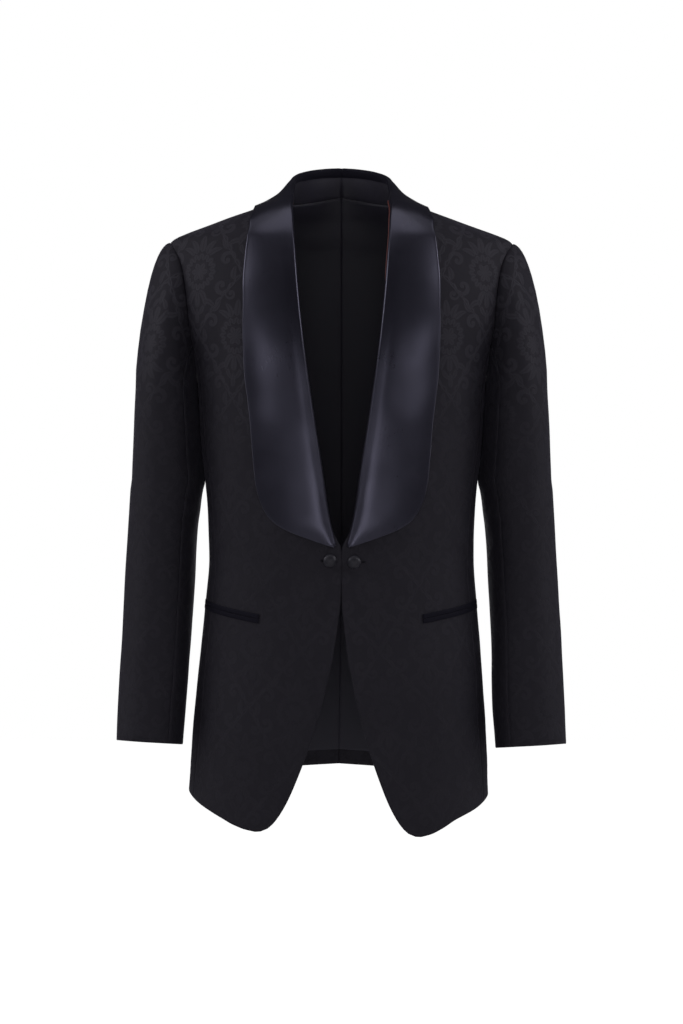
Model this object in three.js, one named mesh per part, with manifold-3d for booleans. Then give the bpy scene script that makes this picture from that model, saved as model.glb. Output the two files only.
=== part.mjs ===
// Dinner jacket with a satin shawl collar, a linked one-button front and cutaway skirts.
// Millimetres, +Z up. The front faces -Y and the wearer's left is at +X.
// The origin is the nape: the inside of the cloth where the centre back seam meets the neckline.
import * as THREE from "three";
import { mergeVertices } from "three/addons/utils/BufferGeometryUtils.js";
import Module from "manifold-3d";

const wasm = await Module();
wasm.setup();

// Driving dimensions.
const CLOTH = 2; // wall of the body, its cloth and canvas
const SLEEVE_CLOTH = 1.8;
const COLLAR_CLOTH = 2;
const LINING_CLOTH = 1;
const SEAM_GAP = 0.36; // between the edges of two panels sewn together
const LAY_GAP = 0.8; // between a panel and the collar that lies on it
const LINING_GAP = 2; // between the back and its lining
const WAIST_Z = -500; // where the fronts meet and the skirts start
const ARMPIT_Z = -262;
const SHOULDER_Z = -76; // end of the shoulder seam
const NECK_POINT_Z = -16; // neck end of the shoulder seam
const HEM_SWAY = -4.5; // the skirts hang this far to the wearer's right at the hem
const HEM_LEAN = 4.5; // the left side hangs lower at the hem by this much, the right side higher

const LEFT = 1;
const RIGHT = -1;
const SIDES = [
  { side: LEFT, suffix: "left", cuffDrop: 5 }, // the left sleeve hangs this much lower
  { side: RIGHT, suffix: "right", cuffDrop: 0 },
];
const COLUMNS = { front: 11, side: 5, back: 8, lining: 7 }; // facets across each panel

// Horizontal sections of the worn body, from the collar's fold down to below the hem:
// half width, depth forward and back of the plumb line, and roundness (2 is an ellipse).
const BODY = [
  { z: 30, half: 56, front: 46, back: 72, round: 2.0 },
  { z: 14, half: 58.5, front: 52, back: 75.5, round: 2.0 },
  { z: 4, half: 62, front: 56, back: 78.5, round: 2.0 },
  { z: -6, half: 68, front: 60, back: 81, round: 2.0 },
  { z: -16, half: 78, front: 65, back: 84, round: 2.0 },
  { z: -26, half: 96, front: 70, back: 87, round: 1.95 },
  { z: -34, half: 116, front: 75, back: 90, round: 2.0 },
  { z: -42, half: 138, front: 80, back: 92, round: 2.0 },
  { z: -54, half: 170, front: 86, back: 95, round: 2.0 },
  { z: -66, half: 202, front: 91, back: 99, round: 2.0 },
  { z: -72, half: 215, front: 93, back: 101, round: 2.0 },
  { z: -76, half: 219.5, front: 94.5, back: 102, round: 2.0 },
  { z: -84, half: 222, front: 97, back: 104, round: 2.0 },
  { z: -100, half: 222, front: 102, back: 107, round: 2.0 },
  { z: -140, half: 217, front: 112, back: 112, round: 2.15 },
  { z: -180, half: 207, front: 119, back: 114, round: 2.25 },
  { z: -220, half: 191, front: 123, back: 114, round: 2.3 },
  { z: -245, half: 184, front: 124, back: 113, round: 2.3 },
  { z: -300, half: 179, front: 123, back: 109, round: 2.3 },
  { z: -360, half: 174.5, front: 119, back: 102, round: 2.3 },
  { z: -420, half: 170.5, front: 114.5, back: 96, round: 2.3 },
  { z: -480, half: 168.3, front: 112, back: 93, round: 2.3 },
  { z: -540, half: 171, front: 113, back: 96, round: 2.3 },
  { z: -600, half: 176, front: 117, back: 103, round: 2.3 },
  { z: -680, half: 183, front: 121.5, back: 111, round: 2.3 },
  { z: -760, half: 190, front: 124.5, back: 116, round: 2.3 },
  { z: -830, half: 195, front: 127, back: 119, round: 2.3 },
];

// Height of the hem by the angle round the body: 0 is the centre front, 90 the side, 180 the centre back.
const HEM = [
  { angle: 0, z: -817.5 },
  { angle: 43, z: -817.5 },
  { angle: 51, z: -812.5 },
  { angle: 57, z: -807 },
  { angle: 66, z: -798 },
  { angle: 78, z: -789 },
  { angle: 90, z: -784 },
  { angle: 120, z: -772 },
  { angle: 150, z: -761 },
  { angle: 180, z: -757 },
];

// Edge of each front, out from the centre line: under the roll of the lapel, down the closed front,
// and round the cutaway to the lowest point of the skirt.
const FRONT_EDGE = [
  { z: -16, x: 67 },
  { z: -40, x: 65.5 },
  { z: -66, x: 64 },
  { z: -130, x: 59 },
  { z: -190, x: 53.5 },
  { z: -250, x: 46 },
  { z: -296, x: 39 },
  { z: -348, x: 31 },
  { z: -382, x: 25.5 },
  { z: -430, x: 19 },
  { z: -450, x: 14.5 },
  { z: -464, x: 9.5 },
  { z: -474, x: 4.5 },
  { z: -487, x: 1.6 },
  { z: -500, x: 0.6 },
  { z: -560, x: 0.9 },
  { z: -580, x: 4.4 },
  { z: -605, x: 9.4 },
  { z: -629, x: 15 },
  { z: -654, x: 21.2 },
  { z: -678, x: 27.4 },
  { z: -703, x: 34.3 },
  { z: -727, x: 42.2 },
  { z: -751.5, x: 51.3 },
  { z: -776, x: 61.5 },
  { z: -793, x: 70.5 },
  { z: -804, x: 78 },
  { z: -811.7, x: 85.5 },
  { z: -816, x: 93 },
  { z: -817.5, x: 101.8 },
];

// Angles of the two seams of the side panel.
const SIDE_SEAMS = [
  { z: -190, front: 78, back: 106 },
  { z: -262, front: 77, back: 108 },
  { z: -400, front: 75, back: 111 },
  { z: -500, front: 74, back: 112 },
  { z: -650, front: 75, back: 111 },
  { z: -830, front: 76, back: 110 },
];

// The armhole, an oval drawn round the side of the body.
const ARMHOLE = { top: SHOULDER_Z, bottom: -243, front: 15.5, back: 17 };

// Sections of the shawl collar from the break up the roll line to the neck: the roll and the outer edge,
// each by its distance from the centre line and its height.
const LAPEL = [
  { rollX: 5.5, rollZ: -461, edgeX: 9.5, edgeZ: -463.5 },
  { rollX: 9.5, rollZ: -447, edgeX: 24, edgeZ: -459 },
  { rollX: 14, rollZ: -428, edgeX: 43, edgeZ: -452.5 },
  { rollX: 17.5, rollZ: -407, edgeX: 63, edgeZ: -445 },
  { rollX: 20.5, rollZ: -385, edgeX: 81, edgeZ: -435 },
  { rollX: 24, rollZ: -362, edgeX: 94, edgeZ: -420 },
  { rollX: 27.5, rollZ: -339, edgeX: 102, edgeZ: -400 },
  { rollX: 32, rollZ: -311, edgeX: 106.5, edgeZ: -377 },
  { rollX: 36.5, rollZ: -281, edgeX: 109, edgeZ: -350 },
  { rollX: 41, rollZ: -250, edgeX: 111.5, edgeZ: -318 },
  { rollX: 45, rollZ: -220, edgeX: 115, edgeZ: -285 },
  { rollX: 48.5, rollZ: -190, edgeX: 119, edgeZ: -250 },
  { rollX: 52, rollZ: -156, edgeX: 121, edgeZ: -212 },
  { rollX: 55, rollZ: -121, edgeX: 121.5, edgeZ: -172 },
  { rollX: 57.5, rollZ: -88, edgeX: 121.5, edgeZ: -132 },
  { rollX: 59.5, rollZ: -60, edgeX: 119, edgeZ: -98 },
  { rollX: 60.3, rollZ: -48, edgeX: 117.5, edgeZ: -83 },
  { rollX: 61, rollZ: -36, edgeX: 115.5, edgeZ: -69 },
];

// The same round the neck, by angle, from the front of the shoulder to the centre back,
// with the length of the stand inside.
const COLLAR = [
  { roll: 51, rollZ: -23.5, edge: 62, edgeZ: -57, inside: 12 },
  { roll: 60, rollZ: -14, edge: 71, edgeZ: -47, inside: 20 },
  { roll: 73, rollZ: -1, edge: 82, edgeZ: -38, inside: 33 },
  { roll: 90, rollZ: 8, edge: 97, edgeZ: -33, inside: 44 },
  { roll: 110, rollZ: 15.5, edge: 115, edgeZ: -30, inside: 47 },
  { roll: 130, rollZ: 21.5, edge: 133, edgeZ: -27, inside: 46 },
  { roll: 150, rollZ: 27, edge: 152, edgeZ: -24, inside: 43 },
  { roll: 166, rollZ: 30, edge: 167, edgeZ: -22, inside: 40 },
  { roll: 180, rollZ: 31, edge: 180, edgeZ: -21, inside: 39 },
];

const COLLAR_HEIGHTS = [-23.5, -18.5, -13, -7, -1, 4, 8, 12, 15.5, 18.5, 21.5, 24.5, 27, 29, 30.3, 31];

// Sections of the sleeve below the armpit, and the height of the cuff's outer side over its middle.
const ARM = [
  { z: -262, inner: 186, outer: 262.5, front: -76, back: 78, tip: 0 },
  { z: -306, inner: 181.8, outer: 265.3, front: -73, back: 79, tip: 0 },
  { z: -357, inner: 177.8, outer: 267.5, front: -68, back: 78, tip: 0 },
  { z: -408, inner: 179, outer: 270, front: -63, back: 75, tip: 0 },
  { z: -434, inner: 182.3, outer: 271.4, front: -61, back: 73, tip: 0 },
  { z: -460, inner: 185.6, outer: 272.6, front: -60, back: 70, tip: 0.3 },
  { z: -511, inner: 188, outer: 276.2, front: -62, back: 63, tip: 0.8 },
  { z: -562, inner: 190.7, outer: 278.8, front: -66, back: 54, tip: 1.3 },
  { z: -613, inner: 194, outer: 281, front: -71, back: 43, tip: 1.8 },
  { z: -665, inner: 197.5, outer: 283, front: -75, back: 31, tip: 2.3 },
  { z: -718, inner: 201, outer: 284.5, front: -78, back: 19, tip: 2.7 },
];
const CUFF_FRONT_RISE = 6; // the front of the cuff stands this much higher than its middle
const FOREARM_SEAM = 128; // angles of the two sleeve seams: 0 is the outside, 90 the front
const HINDARM_SEAM = 246;
// How the sleeve head leaves the armhole: its turn down over the shoulder and under the arm,
// and how full it is at the armhole and at the arm.
const CAP_DROP = 0.58;
const UNDER_DROP = 1.2;
const CAP_FULL = 0.42;
const ARM_FULL = 0.85;

// Value of one column of a table at a key, with a smooth curve that doesn't overshoot its rows.
function lookUp(table, key, at, column) {
  const rising = table[table.length - 1][key] > table[0][key];
  const rows = rising ? table : [...table].reverse();
  const last = rows.length - 1;
  if (at <= rows[0][key]) return rows[0][column];
  if (at >= rows[last][key]) return rows[last][column];
  const i = rows.findIndex((row, k) => at <= rows[k + 1][key]);
  const slope = (k) => (rows[k + 1][column] - rows[k][column]) / (rows[k + 1][key] - rows[k][key]);
  const tangent = (k) => {
    if (k === 0 || k === last) return slope(Math.min(k, last - 1));
    const before = slope(k - 1);
    const after = slope(k);
    return before * after <= 0 ? 0 : (2 * before * after) / (before + after);
  };
  const span = rows[i + 1][key] - rows[i][key];
  const t = (at - rows[i][key]) / span;
  const bend = t * t * (3 - 2 * t);
  return (
    rows[i][column] * (1 - bend) +
    rows[i + 1][column] * bend +
    span * t * (1 - t) * ((1 - t) * tangent(i) - t * tangent(i + 1))
  );
}

const radians = THREE.MathUtils.degToRad;
const mix = THREE.MathUtils.lerp;

// A point on the outside of the cloth at an angle round the body and a height, on one side.
function bodyPoint(side, angle, z) {
  const sine = Math.sin(radians(angle));
  const cosine = Math.cos(radians(angle));
  const half = lookUp(BODY, "z", z, "half");
  const depth = lookUp(BODY, "z", z, cosine > 0 ? "front" : "back");
  const round = lookUp(BODY, "z", z, "round");
  const reach = (Math.abs(sine / half) ** round + Math.abs(cosine / depth) ** round) ** (-1 / round);
  const sway = HEM_SWAY * THREE.MathUtils.clamp((z - WAIST_Z) / (HEM[0].z - WAIST_Z), 0, 1);
  return new THREE.Vector3(side * reach * sine + sway, -reach * cosine, z);
}

// The way out of the cloth there.
function bodyNormal(side, angle, z) {
  const round = bodyPoint(side, angle + 0.5, z).sub(bodyPoint(side, angle - 0.5, z));
  const up = bodyPoint(side, angle, z + 0.5).sub(bodyPoint(side, angle, z - 0.5));
  return round.cross(up).multiplyScalar(side).normalize();
}

// The angle at which the front of the body is x out from the centre line.
function angleAt(x, z) {
  const half = lookUp(BODY, "z", z, "half");
  const front = lookUp(BODY, "z", z, "front");
  const round = lookUp(BODY, "z", z, "round");
  const forward = front * (1 - Math.min(1, x / half) ** round) ** (1 / round);
  return THREE.MathUtils.radToDeg(Math.atan2(x, forward));
}

const edgeAngle = (z) => angleAt(lookUp(FRONT_EDGE, "z", z, "x"), z);
const hemHeight = (side, angle) =>
  lookUp(HEM, "angle", angle, "z") - side * HEM_LEAN * Math.sin(radians(angle));

// The armhole at an angle round it: 0 is its top, 90 its front, 180 its bottom and 270 its back.
function armhole(turn) {
  const sine = Math.sin(radians(turn));
  const middle = (ARMHOLE.top + ARMHOLE.bottom) / 2;
  const angle = 90 - sine * (sine > 0 ? ARMHOLE.front : ARMHOLE.back);
  return { angle, z: middle + (ARMHOLE.top - middle) * Math.cos(radians(turn)) };
}

// How far round from the side the armhole's edge stands at a height.
function armholeReach(z, widest) {
  const middle = (ARMHOLE.top + ARMHOLE.bottom) / 2;
  const share = (z - middle) / (ARMHOLE.top - middle);
  return widest * Math.sqrt(Math.max(0, 1 - share * share));
}

// Heights at which a side seam meets the armhole, so that both panels share that corner.
function seamTop(seam, widest) {
  const middle = (ARMHOLE.top + ARMHOLE.bottom) / 2;
  const reach = Math.abs(90 - seam) / widest;
  return middle - (ARMHOLE.top - middle) * Math.sqrt(1 - reach * reach);
}
const FRONT_SEAM_TOP = seamTop(SIDE_SEAMS[0].front, ARMHOLE.front);
const BACK_SEAM_TOP = seamTop(SIDE_SEAMS[0].back, ARMHOLE.back);

// Levels that every body panel shares: shares of the skirt down to the hem, then heights up to the armpit.
const SKIRT_SHARES = [1, 0.985, 0.95, 0.9, 0.82, 0.7, 0.56, 0.4, 0.24, 0.12];
const TRUNK_HEIGHTS = [-500, -487, -474, -462, -446, -410, -360, -310, ARMPIT_Z];
const SHOULDER_HEIGHTS = [SHOULDER_Z, -72, -66, -56, -45, -35, -25, NECK_POINT_Z];

// A closed wall from a grid of points on its face and the ways out of them.
function wall(rows, thickness) {
  const high = rows.length;
  const wide = rows[0].length;
  const face = rows.flat().map(({ at }) => at);
  const back = rows.flat().map(({ at, out }) => at.clone().addScaledVector(out, -thickness));
  const places = [...face, ...back].flatMap((point) => point.toArray());
  const outer = (r, c) => r * wide + c;
  const inner = (r, c) => high * wide + r * wide + c;
  const faces = [];
  const quad = (a, b, c, d) => faces.push(a, b, c, a, c, d);
  for (let r = 0; r < high - 1; r++)
    for (let c = 0; c < wide - 1; c++) {
      quad(outer(r, c), outer(r, c + 1), outer(r + 1, c + 1), outer(r + 1, c));
      quad(inner(r, c), inner(r + 1, c), inner(r + 1, c + 1), inner(r, c + 1));
    }
  for (let r = 0; r < high - 1; r++) {
    quad(outer(r, 0), outer(r + 1, 0), inner(r + 1, 0), inner(r, 0));
    quad(outer(r + 1, wide - 1), outer(r, wide - 1), inner(r, wide - 1), inner(r + 1, wide - 1));
  }
  for (let c = 0; c < wide - 1; c++) {
    quad(outer(0, c + 1), outer(0, c), inner(0, c), inner(0, c + 1));
    quad(outer(high - 1, c), outer(high - 1, c + 1), inner(high - 1, c + 1), inner(high - 1, c));
  }
  return facingOut(places, faces);
}

// An indexed geometry with its faces turned out.
function facingOut(places, faces) {
  const geometry = new THREE.BufferGeometry();
  geometry.setAttribute("position", new THREE.Float32BufferAttribute(places, 3));
  let volume = 0;
  const [a, b, c] = [new THREE.Vector3(), new THREE.Vector3(), new THREE.Vector3()];
  for (let i = 0; i < faces.length; i += 3) {
    a.fromArray(places, 3 * faces[i]);
    b.fromArray(places, 3 * faces[i + 1]);
    c.fromArray(places, 3 * faces[i + 2]);
    volume += a.dot(b.cross(c));
  }
  if (volume < 0)
    for (let i = 0; i < faces.length; i += 3) [faces[i + 1], faces[i + 2]] = [faces[i + 2], faces[i + 1]];
  geometry.setIndex(faces);
  geometry.computeVertexNormals();
  return geometry;
}

// Draws the four edges of a grid in by half a seam's gap, so that its neighbours stay clear of it.
function trimmed(rows) {
  const draw = (point, towards) =>
    point.at.addScaledVector(towards.at.clone().sub(point.at).normalize(), SEAM_GAP / 2);
  const copy = rows.map((row) => row.map(({ at, out }) => ({ at: at.clone(), out })));
  const high = rows.length - 1;
  const wide = rows[0].length - 1;
  copy.forEach((row, r) => {
    draw(row[0], rows[r][1]);
    draw(row[wide], rows[r][wide - 1]);
  });
  copy[0].forEach((point, c) => draw(point, rows[1][c]));
  copy[high].forEach((point, c) => draw(point, rows[high - 1][c]));
  return copy;
}

// The angle a share of the way round between two others, closer together where the form turns sharply.
function angleBetween(from, to, share, z) {
  const flat = lookUp(BODY, "z", z, "front") / lookUp(BODY, "z", z, "half");
  const spread = (angle) => Math.atan2(flat * Math.sin(radians(angle)), Math.cos(radians(angle)));
  const at = mix(spread(from), spread(to), share);
  return THREE.MathUtils.radToDeg(Math.atan2(Math.sin(at), flat * Math.cos(at)));
}

// A grid over the body: each level gives its two end angles and its height at an angle.
function bodyGrid(side, levels, columns, lift = 0) {
  return levels.map(({ from, to, height }) =>
    Array.from({ length: columns + 1 }, (_, c) => {
      const angle = angleBetween(from, to, c / columns, height(90));
      const z = height(angle);
      const out = bodyNormal(side, angle, z);
      return { at: bodyPoint(side, angle, z).addScaledVector(out, lift), out };
    }),
  );
}

// Levels of the skirt and the trunk between two edges, each an angle by height.
function lowerLevels(side, from, to) {
  const skirt = SKIRT_SHARES.map((share) => {
    const height = (angle) => mix(WAIST_Z, hemHeight(side, angle), share);
    return { from: from(share, height), to: to(share, height), height };
  });
  const trunk = TRUNK_HEIGHTS.map((z) => ({
    from: from(0, () => z),
    to: to(0, () => z),
    height: () => z,
  }));
  return [...skirt, ...trunk];
}

const seamAngle = (column) => (share, height) => lookUp(SIDE_SEAMS, "z", height(90), column);

// Levels of the front, up the armhole and along the shoulder seam.
function frontLevels(side) {
  const edge = (share, height) => edgeAngle(share ? mix(WAIST_Z, HEM[0].z, share) : height(0));
  const armholeHeights = [(ARMPIT_Z + FRONT_SEAM_TOP) / 2, FRONT_SEAM_TOP, -200, -170, -140, -112, -90];
  const upper = [...armholeHeights, ...SHOULDER_HEIGHTS].map((z) => ({
    from: edgeAngle(z),
    to: z < FRONT_SEAM_TOP ? lookUp(SIDE_SEAMS, "z", z, "front") : 90 - armholeReach(z, ARMHOLE.front),
    height: () => z,
  }));
  for (const level of upper) if (level.height() >= SHOULDER_Z) level.to = 90;
  return [...lowerLevels(side, edge, seamAngle("front")), ...upper];
}

// Levels of the back, whose neckline climbs to the nape.
function backLevels(side) {
  const armholeHeights = [(ARMPIT_Z + BACK_SEAM_TOP) / 2, BACK_SEAM_TOP, -165, -138, -112, -90];
  const upper = [...armholeHeights, ...SHOULDER_HEIGHTS].map((z) => {
    const climb = Math.max(0, (z + 53) / (NECK_POINT_Z + 53)) * -NECK_POINT_Z;
    return {
      from: z < BACK_SEAM_TOP ? lookUp(SIDE_SEAMS, "z", z, "back") : 90 + armholeReach(z, ARMHOLE.back),
      to: 180,
      height: (angle) => z + climb * Math.sin(radians((angle - 90) / 2)) ** 2 * 2,
    };
  });
  for (const level of upper) if (level.height(90) >= SHOULDER_Z) level.from = 90;
  return [...lowerLevels(side, seamAngle("back"), () => 180), ...upper];
}

// Levels of the panel under the arm, up to the foot of the armhole.
function sideLevels(side) {
  const corner = SIDE_SEAMS[0];
  const top = (angle) => {
    const within = THREE.MathUtils.clamp(angle, corner.front, corner.back);
    return seamTop(within, within < 90 ? ARMHOLE.front : ARMHOLE.back);
  };
  const upper = [0.5, 1].map((share) => {
    const front = mix(ARMPIT_Z, FRONT_SEAM_TOP, share);
    const back = mix(ARMPIT_Z, BACK_SEAM_TOP, share);
    return {
      from: share < 1 ? lookUp(SIDE_SEAMS, "z", front, "front") : corner.front,
      to: share < 1 ? lookUp(SIDE_SEAMS, "z", back, "back") : corner.back,
      height: (angle) => mix(ARMPIT_Z, top(angle), share),
    };
  });
  return [...lowerLevels(side, seamAngle("front"), seamAngle("back")), ...upper];
}

// The back lining: short of the hem, the neck and the armhole.
const LINING_SHORT = { hem: 20, neck: 9.5, armhole: 3 };

function liningLevels(side) {
  const levels = backLevels(side);
  const skirtRows = SKIRT_SHARES.length;
  const armpitRow = skirtRows + TRUNK_HEIGHTS.length;
  return levels.map(({ from, to, height }, row) => {
    const skirt = (angle) => height(angle) + LINING_SHORT.hem * SKIRT_SHARES[row];
    const neck = (angle) => height(angle) - (row === levels.length - 1 ? LINING_SHORT.neck : 0);
    const raised = row < skirtRows ? skirt : neck;
    return { from: from + (row > armpitRow ? LINING_SHORT.armhole : 0), to, height: raised };
  });
}

// The outside of the satin collar: each section runs from its edge inside the front, round the roll,
// and out over the front to the collar's outer edge.
const SANDWICH = CLOTH + 2 * LAY_GAP + 2 * COLLAR_CLOTH;
const ROLL = SANDWICH / 2;
const FACING_INSIDE = 10; // satin turned in behind the front along the roll
const LEAST_TURNED = 0.6;
const BELLY = 1.6; // the fall stands this much further off the chest half way out
const FULL_WIDTH = 60; // where it is at least this wide
const NECK_CLEAR = 1; // and the edge round the neck this much further off the shoulders and back
const STAND_SHARES = [1, 0.67, 0.33, 0];
const ROLL_TURNS = [-54, -18, 18, 54];
const FALL_SHARES = [0, 0.2, 0.44, 0.68, 0.86, 1];

// A section's way over the body from the roll to the outer edge.
function collarPath({ rollX, rollZ, edgeX, edgeZ, roll, edge }) {
  return (share) => {
    const z = mix(rollZ, edgeZ, share);
    const angle = roll === undefined ? angleAt(mix(rollX, edgeX, share), z) : mix(roll, edge, share);
    return { angle, z };
  };
}

function collarLength(side, path) {
  const steps = 12;
  const points = Array.from({ length: steps + 1 }, (_, k) => {
    const { angle, z } = path(k / steps);
    return bodyPoint(side, angle, z);
  });
  return points.slice(1).reduce((length, point, k) => length + point.distanceTo(points[k]), 0);
}

function collarSection(side, section) {
  const path = collarPath(section);
  const length = collarLength(side, path);
  const inside = section.inside ?? Math.min(FACING_INSIDE, length);
  const point = (along, lift) => {
    const { angle, z } = path(along / length);
    return bodyPoint(side, angle, z).addScaledVector(bodyNormal(side, angle, z), lift);
  };
  const middle = -CLOTH / 2;
  const deepest = Math.max(inside, ROLL + LEAST_TURNED);
  const within = STAND_SHARES.map((share) => point(mix(ROLL, deepest, share), middle - ROLL));
  const turn = ROLL_TURNS.map((turned) =>
    point(ROLL - ROLL * Math.cos(radians(turned)), middle + ROLL * Math.sin(radians(turned))),
  );
  const fall = FALL_SHARES.map((share) => {
    const along = mix(ROLL, length, share);
    const belly = BELLY * 4 * share * (1 - share) * Math.min(1, length / FULL_WIDTH);
    const clear = section.inside ? NECK_CLEAR * share : 0;
    return point(along, middle + ROLL + belly + clear);
  });
  return [...within, ...turn, ...fall];
}

// The ways out of a grid of points, from its neighbours; "round" joins its first and last columns.
function withNormals(rows, outward, round = false) {
  const high = rows.length - 1;
  const wide = rows[0].length - 1;
  return rows.map((row, r) =>
    row.map((at, c) => {
      const before = round && c === 0 ? wide - 1 : Math.max(0, c - 1);
      const after = round && c === wide ? 1 : Math.min(wide, c + 1);
      const across = row[after].clone().sub(row[before]);
      const up = rows[Math.min(high, r + 1)][c].clone().sub(rows[Math.max(0, r - 1)][c]);
      return { at, out: across.cross(up).multiplyScalar(outward).normalize() };
    }),
  );
}

// Half of the collar, from the break of the lapel to the seam at the centre back.
function collar(side) {
  const neck = COLLAR_HEIGHTS.map((rollZ) => {
    const read = (column) => lookUp(COLLAR, "rollZ", rollZ, column);
    return { roll: read("roll"), rollZ, edge: read("edge"), edgeZ: read("edgeZ"), inside: read("inside") };
  });
  const rows = [...LAPEL, ...neck].map((section) => collarSection(side, section));
  const grid = withNormals(rows, side);
  for (const { out } of grid[grid.length - 1]) out.setX(0).normalize();
  return grid;
}

// Shares of the way down the sleeve head, then heights down the arm.
const HEAD_STEPS = [0, 0.05, 0.12, 0.22, 0.36, 0.55, 0.77, 1];
const ARM_HEIGHTS = [-306, -357, -408, -460, -511, -562, -613, -665, -718];
const ARM_ROUND = 2.15;
const TOP_TURNS = 13; // facets round each of its two pieces
const UNDER_TURNS = 7;

// A point of the sleeve below the armpit.
function armPoint(side, turn, height, drop) {
  const share = THREE.MathUtils.clamp((height - ARM[0].z) / (ARM[ARM.length - 1].z - ARM[0].z), 0, 1);
  const read = (column) => lookUp(ARM, "z", height, column);
  const [inner, outer, front, back] = [read("inner"), read("outer"), read("front"), read("back")];
  const sine = Math.sin(radians(turn));
  const cosine = Math.cos(radians(turn));
  const soft = (value) => Math.sign(value) * Math.abs(value) ** (2 / ARM_ROUND);
  return new THREE.Vector3(
    side * ((inner + outer) / 2 + ((outer - inner) / 2) * soft(cosine)),
    (front + back) / 2 - ((back - front) / 2) * soft(sine),
    height - drop * share + read("tip") * cosine + CUFF_FRONT_RISE * sine * share ** 3,
  );
}

// A point of the sleeve head, t of the way from the armhole to the arm.
function headPoint(side, turn, t) {
  const { angle, z } = armhole(turn);
  const out = bodyNormal(side, angle, z);
  const start = bodyPoint(side, angle, z).addScaledVector(out, LAY_GAP / 2);
  const end = armPoint(side, turn, ARM[0].z, 0);
  const reach = start.distanceTo(end);
  const cosine = Math.cos(radians(turn));
  const drop = (cosine > 0 ? CAP_DROP : UNDER_DROP) * Math.abs(cosine);
  const leave = out.clone().add(new THREE.Vector3(0, 0, -drop)).normalize().multiplyScalar(CAP_FULL * reach);
  const arrive = new THREE.Vector3(0, 0, -ARM_FULL * reach);
  return start
    .multiplyScalar((1 + 2 * t) * (1 - t) ** 2)
    .addScaledVector(leave, t * (1 - t) ** 2)
    .addScaledVector(end, t * t * (3 - 2 * t))
    .addScaledVector(arrive, t * t * (t - 1));
}

// The sleeve's rings from the armhole to the cuff, all round, parted at its two seams.
function sleeve(side, drop) {
  const turns = [];
  for (let k = 0; k < TOP_TURNS; k++) turns.push(mix(HINDARM_SEAM - 360, FOREARM_SEAM, k / TOP_TURNS));
  for (let k = 0; k <= UNDER_TURNS; k++) turns.push(mix(FOREARM_SEAM, HINDARM_SEAM, k / UNDER_TURNS));
  const rows = [
    ...HEAD_STEPS.map((step) => turns.map((turn) => headPoint(side, turn, step))),
    ...ARM_HEIGHTS.map((height) => turns.map((turn) => armPoint(side, turn, height, drop))),
  ];
  const grid = withNormals(rows, side, true);
  return {
    top: grid.map((row) => row.slice(0, TOP_TURNS + 1)),
    under: grid.map((row) => row.slice(TOP_TURNS)),
  };
}

// The pockets: the slit's height by the angle round the body.
const POCKET = [
  { angle: 44.2, z: -547 },
  { angle: 60, z: -540 },
  { angle: 93, z: -534 },
];
const JET = { high: 4.6, thick: 1.2, crown: 0.5, gap: 0.6, slit: 0.6, steps: 12 };

// One jet of a pocket: the upper one lies above the slit (way 1), the lower one below it (way -1).
function jet(side, way) {
  const from = POCKET[0].angle;
  const to = POCKET[POCKET.length - 1].angle;
  const rows = [0, 0.5, 1].map((share) => {
    const off = way * (JET.slit / 2 + JET.high * share);
    const height = (angle) => lookUp(POCKET, "angle", angle, "z") + off;
    const lift = JET.gap + JET.thick + JET.crown * 4 * share * (1 - share);
    return bodyGrid(side, [{ from, to, height }], JET.steps, lift)[0];
  });
  return wall(way > 0 ? rows : rows.reverse(), JET.thick);
}

// Covered buttons, joined by a thread link through a buttonhole in each front.
const BUTTON = { x: 14, z: -480, radius: 8, edge: 2, dome: 3.6, off: 0.5, turned: 24 };
const HOLE = { from: 10.5, to: 27, high: 1.9, deep: 24 };
const LINK = { radius: 0.6, behind: 1.6, sides: 10 };

function buttonPlace(side) {
  const angle = angleAt(BUTTON.x, BUTTON.z);
  return { at: bodyPoint(side, angle, BUTTON.z), out: bodyNormal(side, angle, BUTTON.z) };
}

function button(side) {
  const { at, out } = buttonPlace(side);
  const { radius, edge, dome } = BUTTON;
  const foot = [[0, 0], [0.83 * radius, 0], [0.96 * radius, 0.4 * edge]];
  const profile = foot.map(([out, up]) => new THREE.Vector2(out, up));
  for (const turn of [0, 22, 44, 66, 90])
    profile.push(new THREE.Vector2(radius * Math.cos(radians(turn)), edge + dome * Math.sin(radians(turn))));
  profile[profile.length - 1].x = 0;
  const turned = new THREE.LatheGeometry(profile, BUTTON.turned);
  const stand = new THREE.Quaternion().setFromUnitVectors(new THREE.Vector3(0, 1, 0), out);
  turned.applyQuaternion(stand);
  turned.translate(...at.addScaledVector(out, BUTTON.off));
  return turned;
}

// A closed geometry as a solid, and back.
function toSolid(geometry) {
  const bare = geometry.clone();
  bare.deleteAttribute("normal");
  bare.deleteAttribute("uv");
  const merged = mergeVertices(bare, 1e-4);
  const vertProperties = new Float32Array(merged.getAttribute("position").array);
  const triVerts = new Uint32Array(merged.index.array);
  return new wasm.Manifold(new wasm.Mesh({ numProp: 3, vertProperties, triVerts }));
}

function toGeometry(solid) {
  const { vertProperties, triVerts } = solid.getMesh();
  const geometry = new THREE.BufferGeometry();
  geometry.setAttribute("position", new THREE.BufferAttribute(vertProperties.slice(), 3));
  geometry.setIndex(new THREE.BufferAttribute(triVerts.slice(), 1));
  geometry.computeVertexNormals();
  return geometry;
}

// A front with its buttonhole cut through.
function withHole(side, geometry) {
  const { at } = buttonPlace(side);
  const long = HOLE.to - HOLE.from;
  const slot = new THREE.BoxGeometry(long, HOLE.deep, HOLE.high);
  slot.translate(side * (HOLE.from + long / 2), at.y, BUTTON.z);
  return toGeometry(toSolid(geometry).subtract(toSolid(slot)));
}

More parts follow.
